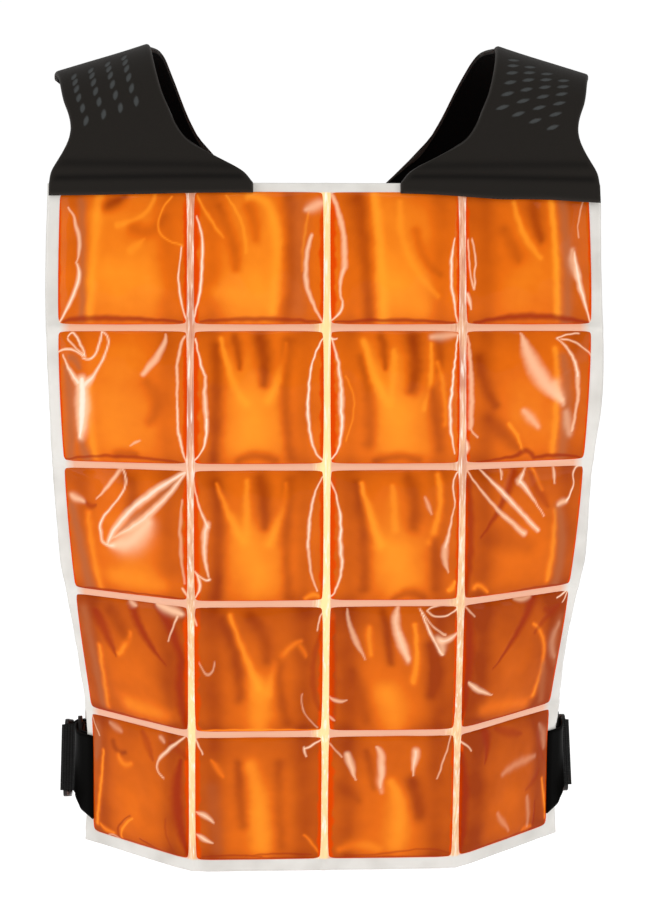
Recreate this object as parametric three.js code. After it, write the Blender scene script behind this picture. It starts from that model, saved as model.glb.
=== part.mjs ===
// A cooling vest: two welded film panels of gel pockets, joined by shoulder pads and side straps.
// Millimetres, +Z up. The front panel faces -Y, and the origin is midway between the pads' crests.

import * as THREE from 'three';

// Panels: lengths are measured flat, on the film.
const columns = 4;
const rows = 5;
const columnPitch = 91;
const rowPitch = 93;
const weldWidth = 6;
const topBorder = 7;
const sideBorder = 9;
const bottomBorder = 9;
const filmThickness = 1;
const frontCrown = 6;
const backCrown = 5;
const edgeWave = 1.2;
const edgeWavesPerRow = 2.5;

// The torso that the vest is worn on.
const crestHeight = 102;
const frontDepth = 73;
const backDepth = 165;
const weldBendLength = 30;

// Shoulder pads and their lining.
const padThickness = 4;
const liningThickness = 1;
const liningInset = 1.5;
const shoulderSlope = 18.6;
const liningStart = 2;

// Side straps.
const webbingWidth = 48;
const webbingThickness = 1.6;
const tabThickness = 1.5;
const tabOverlap = 9;
const tabReach = 12;
const tabTip = 14;
const tabTaper = 0.7;
const frontStrapLevel = 420;
const backStrapLevel = 428;
const strapFlare = 4;
const sliderBar = 4;
const sliderSlot = 7;
const sliderThickness = 3;
const sliderMargin = 4;
const slotCorner = 1;
const slotPlay = 1.2;

const clearance = 0.3;

// The pads' middle lines, as shares of the crest's height and of the panel's depth.
const frontPadRise = 0.74;
const backPadRise = 0.5;
const frontPadReach = 0.6;
const backPadReach = 0.45;
const slopeStart = 0.1;
const standOffEnd = 0.4;

// The gel's crown over a pocket: lower powers are fuller at the rim. The tongues are its soft
// upright waves, and their height is a share of the crown's.
const crownPower = 0.55;
const tongueWaves = 5;
const tongueHeight = 0.1;

// How fine each surface is, and how far apart the points are that its normals are found from.
const frontSteps = 5;
const backSteps = 4;
const padStations = 8;
const tabStrips = 4;
const tabLevels = 3;
const loopSteps = 6;
const roundSteps = 4;
const cornerSteps = 2;
const cutSteps = 24;
const probe = 0.5;
const padProbe = 0.01;

const sliderLength = 3 * sliderBar + 2 * sliderSlot;
const loopGap = sliderThickness / 2 + clearance;
const panelWidth = columns * columnPitch - weldWidth + 2 * sideBorder;
const panelHeight = topBorder + rows * rowPitch - weldWidth + bottomBorder;
const halfPanel = panelWidth / 2;
const radians = Math.PI / 180;

// How each panel hangs, by share of its height: the turn of the outer columns about their weld
// and the lean of the film, both in degrees, and the lift of its side edge as a share of a row.
const frontForm = [
  { at: 0, turn: 8, lean: -5, lift: 0 },
  { at: 0.2, turn: 6, lean: -1, lift: 0 },
  { at: 0.4, turn: 15, lean: 3, lift: 0.01 },
  { at: 0.6, turn: 26, lean: 8, lift: 0.05 },
  { at: 0.8, turn: 37, lean: 12, lift: 0.07 },
  { at: 1, turn: 37, lean: 4, lift: 0.07 },
];
const backForm = [
  { at: 0, turn: 12, lean: -3, lift: 0 },
  { at: 0.2, turn: 12, lean: 0, lift: 0 },
  { at: 0.4, turn: 14, lean: 2, lift: 0.01 },
  { at: 0.6, turn: 18, lean: 2, lift: 0.02 },
  { at: 0.8, turn: 22, lean: 0, lift: 0.02 },
  { at: 1, turn: 23, lean: -3, lift: 0.02 },
];

// The pads' edges, from the panel's top edge to the crest, as shares of half the panel: the outer
// edge, and the edge beside the neck on the front half and on the wider back half.
const padForm = [
  { at: 0, outer: 0.995, frontNeck: 0.262, backNeck: 0.262 },
  { at: 0.06, outer: 0.985, frontNeck: 0.303, backNeck: 0.29 },
  { at: 0.13, outer: 0.953, frontNeck: 0.4, backNeck: 0.365 },
  { at: 0.19, outer: 0.929, frontNeck: 0.483, backNeck: 0.437 },
  { at: 0.26, outer: 0.915, frontNeck: 0.529, backNeck: 0.48 },
  { at: 0.34, outer: 0.92, frontNeck: 0.557, backNeck: 0.515 },
  { at: 0.46, outer: 0.943, frontNeck: 0.592, backNeck: 0.546 },
  { at: 0.65, outer: 0.964, frontNeck: 0.622, backNeck: 0.58 },
  { at: 0.88, outer: 0.994, frontNeck: 0.64, backNeck: 0.61 },
  { at: 1, outer: 1.002, frontNeck: 0.645, backNeck: 0.645 },
];

// How full the pockets of each row are and how far their gel has sunk, as shares.
const pocketForm = [
  { crown: 0.92, sink: 0.02 },
  { crown: 1, sink: 0.03 },
  { crown: 1, sink: 0.04 },
  { crown: 0.96, sink: 0.05 },
  { crown: 0.94, sink: 0.06 },
];

// The value of a table's column between its rows, on a smooth curve through them.
function read(table, at, column) {
  const last = table.length - 1;
  let i = 0;
  while (i < last - 1 && table[i + 1].at < at) i += 1;
  const slope = (k) => {
    const before = table[Math.max(k - 1, 0)];
    const after = table[Math.min(k + 1, last)];
    return (after[column] - before[column]) / (after.at - before.at);
  };
  const span = table[i + 1].at - table[i].at;
  const t = THREE.MathUtils.clamp((at - table[i].at) / span, 0, 1);
  const rise = table[i + 1][column] - table[i][column];
  const bow = (1 - t) * (slope(i) * span - rise) - t * (slope(i + 1) * span - rise);
  return table[i][column] + rise * t + t * (1 - t) * bow;
}

// A closed solid over a grid of cells. place(i, j, face) gives a corner of the grid on the
// outer face (1) or the inner face (0), and isSolid(i, j) leaves a cell out where it is false.
function gridSolid(across, along, place, isSolid = () => true) {
  const positions = [];
  const triangles = [];
  const known = new Map();
  const corner = (i, j, face) => {
    const key = `${i} ${j} ${face}`;
    if (!known.has(key)) {
      known.set(key, positions.length / 3);
      positions.push(...place(i, j, face).toArray());
    }
    return known.get(key);
  };
  const quad = (a, b, c, d) => triangles.push(a, b, c, a, c, d);
  const solid = (i, j) => i >= 0 && j >= 0 && i < across && j < along && isSolid(i, j);
  for (let j = 0; j < along; j += 1) {
    for (let i = 0; i < across; i += 1) {
      if (!solid(i, j)) continue;
      const [a, b, c, d] = [[i, j], [i + 1, j], [i + 1, j + 1], [i, j + 1]];
      quad(...[a, b, c, d].map((k) => corner(...k, 1)));
      quad(...[a, d, c, b].map((k) => corner(...k, 0)));
      const sides = [[a, b, solid(i, j - 1)], [b, c, solid(i + 1, j)],
        [c, d, solid(i, j + 1)], [d, a, solid(i - 1, j)]];
      sides.forEach(([from, to, covered], k) => {
        if (covered) return;
        const wall = [corner(...from, 0), corner(...to, 0), corner(...to, 1), corner(...from, 1)];
        // Two solids that meet at a wall cut it along the same diagonal.
        if (k > 1) wall.push(wall.shift());
        quad(...wall);
      });
    }
  }
  const geometry = new THREE.BufferGeometry();
  geometry.setAttribute('position', new THREE.Float32BufferAttribute(positions, 3));
  geometry.setIndex(facingOut(positions, triangles));
  geometry.computeVertexNormals();
  return geometry;
}

// The triangles in the order that makes them face out, found from the volume that they enclose.
function facingOut(positions, triangles) {
  const point = (k) => new THREE.Vector3().fromArray(positions, 3 * k);
  let volume = 0;
  for (let k = 0; k < triangles.length; k += 3) {
    const [a, b, c] = [point(triangles[k]), point(triangles[k + 1]), point(triangles[k + 2])];
    volume += a.dot(b.cross(c));
  }
  return volume > 0 ? triangles : triangles.reverse();
}

// The unit normal of a surface at (u, v).
function normalAt(surface, u, v) {
  const alongU = surface(u + probe, v).sub(surface(u - probe, v));
  const alongV = surface(u, v + probe).sub(surface(u, v - probe));
  return alongU.cross(alongV).normalize();
}

// The level cut through a panel: flat to the weld, a bend about it, and flat to the side edge.
function levelCut(u, turn) {
  const start = columnPitch - weldBendLength / 2;
  const angle = turn * radians;
  const bent = THREE.MathUtils.clamp(Math.abs(u) - start, 0, weldBendLength);
  const beyond = Math.max(Math.abs(u) - start - weldBendLength, 0);
  const radius = weldBendLength / angle;
  const heading = (angle * bent) / weldBendLength;
  const x = Math.min(Math.abs(u), start) + radius * Math.sin(heading) + beyond * Math.cos(heading);
  const depth = radius * (1 - Math.cos(heading)) + beyond * Math.sin(heading);
  return { x: x * Math.sign(u), depth };
}

// The upright cut through the middle of a panel, walked down from its top edge.
function uprightCut(form, v) {
  let depth = 0;
  let drop = 0;
  for (let k = 0; k < cutSteps; k += 1) {
    const share = ((k + 0.5) / cutSteps) * (v / panelHeight);
    const lean = read(form, Math.max(share, 0), 'lean') * radians;
    depth += (Math.sin(lean) * v) / cutSteps;
    drop += (Math.cos(lean) * v) / cutSteps;
  }
  return { depth, drop };
}

// A panel's middle surface at the flat place (u, v), with v from the top edge down.
function panelPoint(panel, u, v) {
  const share = THREE.MathUtils.clamp(v / panelHeight, 0, 1);
  const level = levelCut(u, read(panel.form, share, 'turn'));
  const upright = uprightCut(panel.form, v);
  const outside = Math.max(Math.abs(u) - columnPitch, 0) / (halfPanel - columnPitch);
  const lift = read(panel.form, share, 'lift') * rowPitch * outside;
  const y = panel.facing * (panel.depth - level.depth - upright.depth);
  return new THREE.Vector3(level.x, y, panel.top - upright.drop + lift);
}

// A point that stands off a panel's middle surface by the given height, away from the torso.
function offPanel(panel, u, v, height) {
  const surface = (a, b) => panelPoint(panel, a, b);
  const normal = normalAt(surface, u, v).multiplyScalar(panel.facing * height);
  return panelPoint(panel, u, v).add(normal);
}

const panelTop = -crestHeight;
const front = { name: 'front', facing: -1, depth: frontDepth, top: panelTop, form: frontForm };
Object.assign(front, { steps: frontSteps, crown: frontCrown, strapLevel: frontStrapLevel });
Object.assign(front, { padRise: frontPadRise, padReach: frontPadReach });
const back = { name: 'back', facing: 1, depth: backDepth, top: panelTop, form: backForm };
Object.assign(back, { steps: backSteps, crown: backCrown, strapLevel: backStrapLevel });
Object.assign(back, { padRise: backPadRise, padReach: backPadReach });

// The flat lines of a panel's grid: its border, then each window in steps, with welds between.
function gridLines(count, pitch, start, end, steps) {
  const lines = [start];
  for (let k = 0; k < count; k += 1) {
    for (let step = 0; step <= steps; step += 1) {
      lines.push(k * pitch + ((pitch - weldWidth) * step) / steps);
    }
  }
  return [...lines, end];
}

// One of the three lengths that a panel's film is made in. They meet beside the outer upright
// welds, where the panel bends, so each is nearly flat and has simple collision.
function filmGeometry(panel, length) {
  const firstColumn = -halfPanel + sideBorder;
  const uLines = gridLines(columns, columnPitch, -sideBorder, panelWidth - sideBorder, panel.steps);
  const vLines = gridLines(rows, rowPitch, -topBorder, panelHeight - topBorder, panel.steps);
  const cells = panel.steps + 1;
  const inWindow = (k) => k % cells !== 0;
  const lengthOf = (i) => {
    if (i < cells) return 'left';
    return i > (columns - 1) * cells ? 'right' : 'middle';
  };
  const isSolid = (i, j) => lengthOf(i) === length && !(inWindow(i) && inWindow(j));
  const lastU = uLines.length - 1;
  const place = (i, j, face) => {
    const v = vLines[j] + topBorder;
    const atSide = i === 0 || i === lastU;
    const turns = (v * edgeWavesPerRow) / rowPitch;
    const wave = atSide ? edgeWave * Math.sin(2 * Math.PI * turns) : 0;
    const u = uLines[i] + firstColumn - Math.sign(uLines[i]) * wave;
    return offPanel(panel, u, v, (face - 0.5) * filmThickness);
  };
  return gridSolid(lastU, vLines.length - 1, place, isSolid);
}

// How far a pocket's film stands off at a share of its width and height: a crown that is steep
// at the rim and flat in the middle, with soft tongues between the upper and the lower welds.
function pocketRelief(a, b, row) {
  const form = pocketForm[row];
  const sunk = b + form.sink * Math.sin(Math.PI * b);
  const crown = (Math.sin(Math.PI * a) * Math.sin(Math.PI * sunk)) ** crownPower;
  const tongues = tongueHeight * Math.sin(tongueWaves * Math.PI * a) * Math.cos(2 * Math.PI * b);
  return form.crown * crown * (1 + tongues);
}

function pocketGeometry(panel, row, column) {
  const width = columnPitch - weldWidth - 2 * clearance;
  const height = rowPitch - weldWidth - 2 * clearance;
  const left = -halfPanel + sideBorder + column * columnPitch + clearance;
  const top = topBorder + row * rowPitch + clearance;
  const place = (i, j, face) => {
    const [a, b] = [i / panel.steps, j / panel.steps];
    const inside = i > 0 && j > 0 && i < panel.steps && j < panel.steps;
    const relief = inside ? panel.crown * pocketRelief(a, b, row) : 0;
    const side = 2 * face - 1;
    const off = side * (filmThickness / 2 + relief);
    return offPanel(panel, left + a * width, top + b * height, off);
  };
  return gridSolid(panel.steps, panel.steps, place);
}

// The middle line of a pad's half, from its panel's top edge (0) to the crest (1).
function padLine(panel) {
  const lean = -read(panel.form, 0, 'lean') * radians;
  const reach = panel.depth - filmThickness / 2;
  const bottom = new THREE.Vector2(reach, -crestHeight);
  const above = new THREE.Vector2(-Math.sin(lean), Math.cos(lean));
  above.multiplyScalar(panel.padRise * crestHeight).add(bottom);
  const behind = new THREE.Vector2(panel.padReach * panel.depth, 0);
  return new THREE.CubicBezierCurve(bottom, above, behind, new THREE.Vector2(0, 0));
}

// A pad's inner face. Station runs from below 0 on the front panel, through 1 at the crest, to
// above 2 on the back panel, and across is the flat distance from the middle of the vest.
function padPoint(side, station, across) {
  const panel = station <= 1 ? front : back;
  const share = station <= 1 ? station : 2 - station;
  const line = panel.padLine;
  const spot = share >= 0 ? line.getPointAt(Math.min(share, 1)) : line.getPointAt(0);
  if (share < 0) spot.addScaledVector(line.getTangentAt(0), share * line.getLength());
  const hang = (1 - THREE.MathUtils.clamp(share, 0, 1)) ** 2;
  const level = levelCut(across, read(panel.form, 0, 'turn'));
  const x = THREE.MathUtils.lerp(across, level.x, hang);
  const sloping = THREE.MathUtils.smoothstep(share, slopeStart, 1);
  const slope = Math.tan(shoulderSlope * radians) * sloping;
  const z = spot.y - slope * (across - padEdge(1, 'frontNeck'));
  const resting = 1 - THREE.MathUtils.smoothstep(share, 0, standOffEnd);
  const standOff = (filmThickness + clearance) * resting;
  const y = panel.facing * (spot.x - hang * level.depth + standOff);
  return new THREE.Vector3(side * x, y, z);
}

front.padLine = padLine(front);
back.padLine = padLine(back);

// How far one of a pad's edges lies from the middle of the vest.
function padEdge(share, edge) {
  return halfPanel * read(padForm, Math.max(share, 0), edge);
}

// The lines across a pad, as shares of its width: its edges, and the bend of the panel under it.
function padShares() {
  const [low, high] = [padEdge(0, 'frontNeck'), padEdge(0, 'outer')];
  const bend = [-0.5, 0, 0.5].map((share) => columnPitch + share * weldBendLength - low);
  const shares = bend.map((distance) => distance / (high - low));
  return [0, ...shares, (1 + shares[2]) / 2, 1];
}

// A layer of a pad: its stations, its inset from the pad's edges, and the heights of its two
// faces above the pad's inner face.
function padLayer(side, stations, inset, inner, outer) {
  const shares = padShares();
  const last = shares.length - 1;
  const place = (i, j, face) => {
    const station = stations[j];
    const share = station <= 1 ? station : 2 - station;
    const low = padEdge(share, station <= 1 ? 'frontNeck' : 'backNeck');
    const high = padEdge(share, 'outer');
    const edge = { 0: inset, [last]: -inset }[i] ?? 0;
    const across = THREE.MathUtils.lerp(low, high, shares[i]) + edge;
    const surface = (u, v) => padPoint(side, v, u);
    const alongU = surface(across + probe, station).sub(surface(across - probe, station));
    const before = surface(across, station - padProbe);
    const alongV = surface(across, station + padProbe).sub(before);
    const normal = alongU.cross(alongV).normalize().multiplyScalar(side);
    return surface(across, station).addScaledVector(normal, face ? outer : inner);
  };
  return gridSolid(last, stations.length - 1, place);
}

// The stations of a lining, which its pad shares and runs past at both ends.
const sharedStations = [
  liningStart / front.padLine.getLength(),
  ...stepsTo(2 * padStations).slice(1, -1).map((k) => k / padStations),
  2 - liningStart / back.padLine.getLength(),
];

function padGeometry(side) {
  const overlap = topBorder - clearance;
  const start = -overlap / front.padLine.getLength();
  const end = 2 + overlap / back.padLine.getLength();
  return padLayer(side, [start, ...sharedStations, end], 0, 0, padThickness);
}

function liningGeometry(side) {
  const top = -clearance;
  return padLayer(side, sharedStations, liningInset, top - liningThickness, top);
}

function stepsTo(last) {
  return Array.from({ length: last + 1 }, (_, k) => k);
}

// Where a strap leaves a panel, on the vest's right: the slider's middle and the way it faces.
function strapEnd(panel) {
  const edge = panelPoint(panel, halfPanel, panel.strapLevel);
  const along = panelPoint(panel, halfPanel + 1, panel.strapLevel).sub(edge).setZ(0).normalize();
  const flare = strapFlare * radians;
  const heading = new THREE.Vector3(Math.sin(flare), -panel.facing * Math.cos(flare), 0);
  const between = along.clone().add(heading).normalize();
  const centre = edge.clone().addScaledVector(between, tabReach);
  centre.addScaledVector(heading, sliderLength / 2);
  const outward = new THREE.Vector3(heading.y, -heading.x, 0).multiplyScalar(-panel.facing);
  return { centre, heading, outward };
}

// The straps' own frame: it starts at the front sliders' height and falls towards the back ones.
const ends = { front: strapEnd(front), back: strapEnd(back) };
const strapRun = ends.back.centre.y - ends.front.centre.y;
const strapFall = ends.front.centre.z - ends.back.centre.z;
const strapFrame = new THREE.Group();
strapFrame.position.set(0, ends.front.centre.y, ends.front.centre.z);
strapFrame.rotation.x = -Math.atan2(strapFall, strapRun);
strapFrame.updateMatrix();
for (const { centre } of Object.values(ends)) {
  centre.y = centre === ends.front.centre ? 0 : Math.hypot(strapRun, strapFall);
  centre.z = 0;
}

// One corner of a tab: a layer over the border and out to the slider, a turn round its first
// bar, and a layer back under the border. Rise runs from the tab's lower (-1) to upper edge (1).
function tabPoint(panel, side, step, rise, face) {
  const end = ends[panel.name];
  const layer = tabStrips;
  const turned = THREE.MathUtils.clamp(step - layer, 0, roundSteps) / roundSteps;
  const sign = step < layer + roundSteps / 2 ? 1 : -1;
  const out = Math.min(step, 2 * layer + roundSteps - step);
  const height = face * tabThickness;
  const bar = end.centre.clone().addScaledVector(end.heading, sliderBar - sliderLength / 2);
  bar.z += (rise * webbingWidth) / 2;
  if (turned > 0 && turned < 1) {
    const angle = Math.PI * (0.5 - turned);
    const radius = loopGap + height;
    bar.addScaledVector(end.heading, Math.cos(angle) * radius);
    bar.addScaledVector(end.outward, Math.sin(angle) * radius).applyMatrix4(strapFrame.matrix);
    return bar.setX(side * bar.x);
  }
  const off = sign * (filmThickness / 2 + clearance + height);
  const onFilm = (u, drop) => {
    const v = panel.strapLevel - (rise * webbingWidth) / 2 + (rise < 0 ? tabTip * drop : 0);
    return offPanel(panel, u, v, off);
  };
  const start = onFilm(halfPanel - tabOverlap, 1);
  const leaving = onFilm(halfPanel + edgeWave, tabTaper);
  const stop = bar.clone().addScaledVector(end.outward, sign * (loopGap + height));
  const before = stop.clone().addScaledVector(end.heading, -sliderBar - clearance);
  stop.applyMatrix4(strapFrame.matrix);
  before.applyMatrix4(strapFrame.matrix);
  const handle = leaving.distanceTo(before) / 3;
  const along = leaving.clone().sub(start).normalize();
  const bend = new THREE.CubicBezierCurve3(leaving, leaving.clone().addScaledVector(along, handle),
    before.clone().addScaledVector(end.heading, -handle), before);
  const spot = [start, leaving, bend.getPoint(0.5), before, stop][out];
  return spot.clone().setX(side * spot.x);
}

function tabGeometry(panel, side) {
  const place = (i, j, face) => tabPoint(panel, side, i, (2 * j) / tabLevels - 1, face);
  return gridSolid(2 * tabStrips + roundSteps, tabLevels, place);
}

// The rounded frame of a slider, with two slots between its three bars.
function sliderGeometry() {
  const slotHeight = webbingWidth + slotPlay;
  const height = slotHeight + 2 * sliderMargin;
  const frame = roundedOutline(new THREE.Shape(), 0, sliderLength, height, sliderBar);
  for (const sign of [-1, 1]) {
    const middle = (sign * (sliderBar + sliderSlot)) / 2;
    const slot = roundedOutline(new THREE.Path(), middle, sliderSlot, slotHeight, slotCorner);
    frame.holes.push(slot);
  }
  const geometry = new THREE.ExtrudeGeometry(frame, {
    depth: sliderThickness, bevelEnabled: false, curveSegments: cornerSteps,
  });
  return geometry.translate(0, 0, -sliderThickness / 2);
}

// A rectangle with round corners about a middle on the x axis.
function roundedOutline(path, middle, width, height, radius) {
  const [x, y] = [width / 2 - radius, height / 2 - radius];
  path.absarc(middle + x, y, radius, 0, Math.PI / 2);
  path.absarc(middle - x, y, radius, Math.PI / 2, Math.PI);
  path.absarc(middle - x, -y, radius, Math.PI, 1.5 * Math.PI);
  path.absarc(middle + x, -y, radius, 1.5 * Math.PI, 2 * Math.PI);
  path.closePath();
  return path;
}

// The webbing's bend in plan between the two sliders, and the turn round each middle bar.
function webbingPlan() {
  const plan = (vector) => new THREE.Vector2(vector.x, vector.y);
  const turns = [ends.front, ends.back].map(({ centre, heading }) => (
    { centre: plan(centre).addScaledVector(plan(heading), -sliderBar / 2), away: plan(heading) }));
  const [leaving, arriving] = [ends.front, ends.back].map(({ centre, heading }) => (
    plan(centre).addScaledVector(plan(heading), sliderLength / 2)));
  const reach = leaving.distanceTo(arriving) / 3;
  const line = new THREE.CubicBezierCurve(leaving,
    leaving.clone().addScaledVector(turns[0].away, reach),
    arriving.clone().addScaledVector(turns[1].away, reach), arriving);
  return { line, turns };
}

// A closed outline at a distance from the webbing's middle line.
function aroundWebbing(distance) {
  const { line, turns } = webbingPlan();
  const side = (sign) => (k) => {
    const tangent = line.getTangentAt(k / loopSteps);
    const off = new THREE.Vector2(tangent.y, -tangent.x).multiplyScalar(sign * distance);
    return line.getPointAt(k / loopSteps).add(off);
  };
  const turn = ({ centre, away }) => stepsTo(roundSteps).map((k) => {
    const angle = away.angle() + Math.PI / 2 + (Math.PI * k) / roundSteps;
    return new THREE.Vector2(Math.cos(angle), Math.sin(angle)).multiplyScalar(distance).add(centre);
  });
  return [...stepsTo(loopSteps).map(side(1)), ...turn(turns[1]),
    ...stepsTo(loopSteps).map(side(-1)).reverse(), ...turn(turns[0])];
}

function webbingGeometry(side) {
  const mirrored = (points) => {
    const turned = points.map((point) => point.clone().setX(side * point.x));
    return side > 0 ? turned : turned.reverse();
  };
  const outline = new THREE.Shape(mirrored(aroundWebbing(loopGap + webbingThickness)));
  outline.holes.push(new THREE.Path(mirrored(aroundWebbing(loopGap))));
  const size = { depth: webbingWidth, bevelEnabled: false };
  const geometry = new THREE.ExtrudeGeometry(outline, size);
  return geometry.translate(0, 0, -webbingWidth / 2);
}

const finishes = {
  film: { color: '#dcd8cf', roughness: 0.3, metalness: 0 },
  gel: { color: '#e8701c', roughness: 0.15, metalness: 0 },
  neoprene: { color: '#2a2622', roughness: 0.85, metalness: 0 },
  lining: { color: '#070707', roughness: 0.9, metalness: 0 },
  tab: { color: '#12100e', roughness: 0.6, metalness: 0 },
  webbing: { color: '#171717', roughness: 0.8, metalness: 0 },
  slider: { color: '#1a1917', roughness: 0.25, metalness: 0 },
};

const vest = new THREE.Group();
vest.add(strapFrame);

function addPiece(name, geometry, finish, group = vest) {
  const material = new THREE.MeshStandardMaterial(finishes[finish]);
  const piece = new THREE.Mesh(geometry, material);
  piece.name = name;
  group.add(piece);
  return piece;
}

for (const panel of [front, back]) {
  for (const length of ['left', 'middle', 'right']) {
    addPiece(`${panel.name}_film_${length}`, filmGeometry(panel, length), 'film');
  }
  for (let row = 0; row < rows; row += 1) {
    for (let column = 0; column < columns; column += 1) {
      const name = `${panel.name}_pocket_r${row + 1}_c${column + 1}`;
      addPiece(name, pocketGeometry(panel, row, column), 'gel');
    }
  }
}

for (const [hand, side] of [['left', -1], ['right', 1]]) {
  addPiece(`${hand}_shoulder_pad`, padGeometry(side), 'neoprene');
  addPiece(`${hand}_pad_lining`, liningGeometry(side), 'lining');
  addPiece(`${hand}_webbing`, webbingGeometry(side), 'webbing', strapFrame);
  for (const panel of [front, back]) {
    const end = ends[panel.name];
    addPiece(`${hand}_${panel.name}_tab`, tabGeometry(panel, side), 'tab');
    const slider = addPiece(`${hand}_${panel.name}_slider`, sliderGeometry(), 'slider', strapFrame);
    const heading = end.heading.clone().setX(side * end.heading.x);
    const outward = heading.clone().cross(new THREE.Vector3(0, 0, 1));
    const turn = new THREE.Matrix4().makeBasis(heading, new THREE.Vector3(0, 0, 1), outward);
    slider.quaternion.setFromRotationMatrix(turn);
    slider.position.copy(end.centre).setX(side * end.centre.x);
  }
}

export default vest;
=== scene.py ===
import math

import bmesh
import bpy
import numpy as np
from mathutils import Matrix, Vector


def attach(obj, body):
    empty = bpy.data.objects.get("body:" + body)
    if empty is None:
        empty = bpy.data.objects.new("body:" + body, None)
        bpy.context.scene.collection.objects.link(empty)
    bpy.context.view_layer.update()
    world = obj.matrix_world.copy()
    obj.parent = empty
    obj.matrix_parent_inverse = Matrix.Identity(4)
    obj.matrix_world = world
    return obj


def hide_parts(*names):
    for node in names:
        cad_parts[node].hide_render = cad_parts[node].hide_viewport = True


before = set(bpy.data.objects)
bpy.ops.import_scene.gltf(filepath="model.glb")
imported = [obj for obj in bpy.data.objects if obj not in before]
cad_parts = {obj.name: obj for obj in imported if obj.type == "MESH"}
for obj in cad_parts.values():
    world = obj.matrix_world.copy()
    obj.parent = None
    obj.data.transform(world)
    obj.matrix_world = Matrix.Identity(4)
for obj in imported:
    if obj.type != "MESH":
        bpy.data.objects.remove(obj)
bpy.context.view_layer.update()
print("stage: frame loaded")

# The vest's sizes in millimetres, as in the part. Meshes are scaled to metres when they are made.
mm = 0.001
columns = 4
rows = 5
columnPitch = 91
rowPitch = 93
weldWidth = 6
topBorder = 7
sideBorder = 9
bottomBorder = 9
filmThickness = 1
crestHeight = 102
weldBendLength = 30
padThickness = 4
liningThickness = 1
liningInset = 1.5
liningStart = 2
crestSink = 3.4
shoulderSlope = 18.6
webbingWidth = 48
webbingThickness = 1.6
tabThickness = 1.5
tabOverlap = 9
tabReach = 12
tabTip = 14
tabTaper = 0.7
tabLevels = 20
strapFlare = 4
sliderBar = 4
sliderSlot = 7
sliderThickness = 3
sliderRounding = 1.1
clearance = 0.3
edgeWave = 1.2
probe = 0.5
bendPieces = 24
sliderLength = 3 * sliderBar + 2 * sliderSlot
loopGap = sliderThickness / 2 + clearance
windowWidth = columnPitch - weldWidth
windowHeight = rowPitch - weldWidth
panelWidth = columns * columnPitch - weldWidth + 2 * sideBorder
panelHeight = topBorder + rows * rowPitch - weldWidth + bottomBorder
halfPanel = panelWidth / 2

front = {
    "name": "front", "facing": -1, "depth": 73, "crown": 6, "cells": 112, "strapLevel": 420,
    "rise": 0.74, "behind": 0.6,
    "form": {
        "at": [0, 0.2, 0.4, 0.6, 0.8, 1],
        "turn": [8, 6, 15, 26, 37, 37],
        "lean": [-5, -1, 3, 8, 12, 4],
        "lift": [0, 0, 0.01, 0.05, 0.07, 0.07],
    },
}
back = {
    "name": "back", "facing": 1, "depth": 165, "crown": 5, "cells": 44, "strapLevel": 428,
    "rise": 0.5, "behind": 0.45,
    "form": {
        "at": [0, 0.2, 0.4, 0.6, 0.8, 1],
        "turn": [12, 12, 14, 18, 22, 23],
        "lean": [-3, 0, 2, 2, 0, -3],
        "lift": [0, 0, 0.01, 0.02, 0.02, 0.02],
    },
}
padForm = {
    "at": [0, 0.06, 0.13, 0.19, 0.26, 0.34, 0.46, 0.65, 0.88, 1],
    "outer": [0.995, 0.985, 0.953, 0.929, 0.915, 0.92, 0.943, 0.964, 0.994, 1.002],
    "frontNeck": [0.262, 0.303, 0.4, 0.483, 0.529, 0.557, 0.592, 0.622, 0.64, 0.645],
    "backNeck": [0.262, 0.29, 0.365, 0.437, 0.48, 0.515, 0.546, 0.58, 0.61, 0.645],
}
pocketForm = {
    "crown": [0.92, 1, 1, 0.96, 0.94],
    "sink": [0.02, 0.03, 0.04, 0.05, 0.06],
    # By row, the gel's base level from dark to bright, on which painted light and shade build; by column, how
    # strong the painted side shade and middle glow are, and a shift of that level.
    "toneAndShading": [0.65, 0.63, 0.55, 0.4, 0.43],
    "inward": [0.85, 1, 1, 0.9],
    "column": [-0.04, 0, 0, -0.13],
    "tuck": 1.1, "innerCells": 24, "fill": 0.9,
}

# How far the film's side edges stand out from a straight cut, in millimetres, by share of height.
edgeForm = {
    "at": [0, 0.14, 0.3, 0.42, 0.5, 0.56, 0.62, 0.7, 0.78, 0.86, 0.92, 1],
    "left": [0.2, 0.5, -0.4, 0.3, 0.6, 0.9, -1.6, -2.2, -2.8, -3, -2.4, -0.8],
    "right": [0.3, -1, 1.8, -1.5, 0.4, 1.6, -1.4, -1.6, 1.2, 0, 0.4, 1.6],
}


def readForm(form, at, column):
    spots = np.array(form["at"], float)
    values = np.array(form[column], float)
    last = len(spots) - 1
    after = np.minimum(np.arange(last + 1) + 1, last)
    before = np.maximum(np.arange(last + 1) - 1, 0)
    slopes = (values[after] - values[before]) / (spots[after] - spots[before])
    i = np.clip(np.searchsorted(spots, at, side="left") - 1, 0, last - 1)
    span = spots[i + 1] - spots[i]
    t = np.clip((at - spots[i]) / span, 0, 1)
    rise = values[i + 1] - values[i]
    bow = (1 - t) * (slopes[i] * span - rise) - t * (slopes[i + 1] * span - rise)
    return values[i] + rise * t + t * (1 - t) * bow


def smoothstep(value, low, high):
    t = np.clip((value - low) / (high - low), 0, 1)
    return t * t * (3 - 2 * t)


def unit(vectors):
    return vectors / np.linalg.norm(vectors, axis=-1, keepdims=True)


def levelCut(u, turn):
    start = columnPitch - weldBendLength / 2
    angle = np.radians(turn)
    bent = np.clip(abs(u) - start, 0, weldBendLength)
    beyond = np.maximum(abs(u) - start - weldBendLength, 0)
    radius = weldBendLength / angle
    heading = angle * bent / weldBendLength
    x = np.minimum(abs(u), start) + radius * np.sin(heading) + beyond * np.cos(heading)
    depth = radius * (1 - np.cos(heading)) + beyond * np.sin(heading)
    return x * np.sign(u), depth


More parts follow.
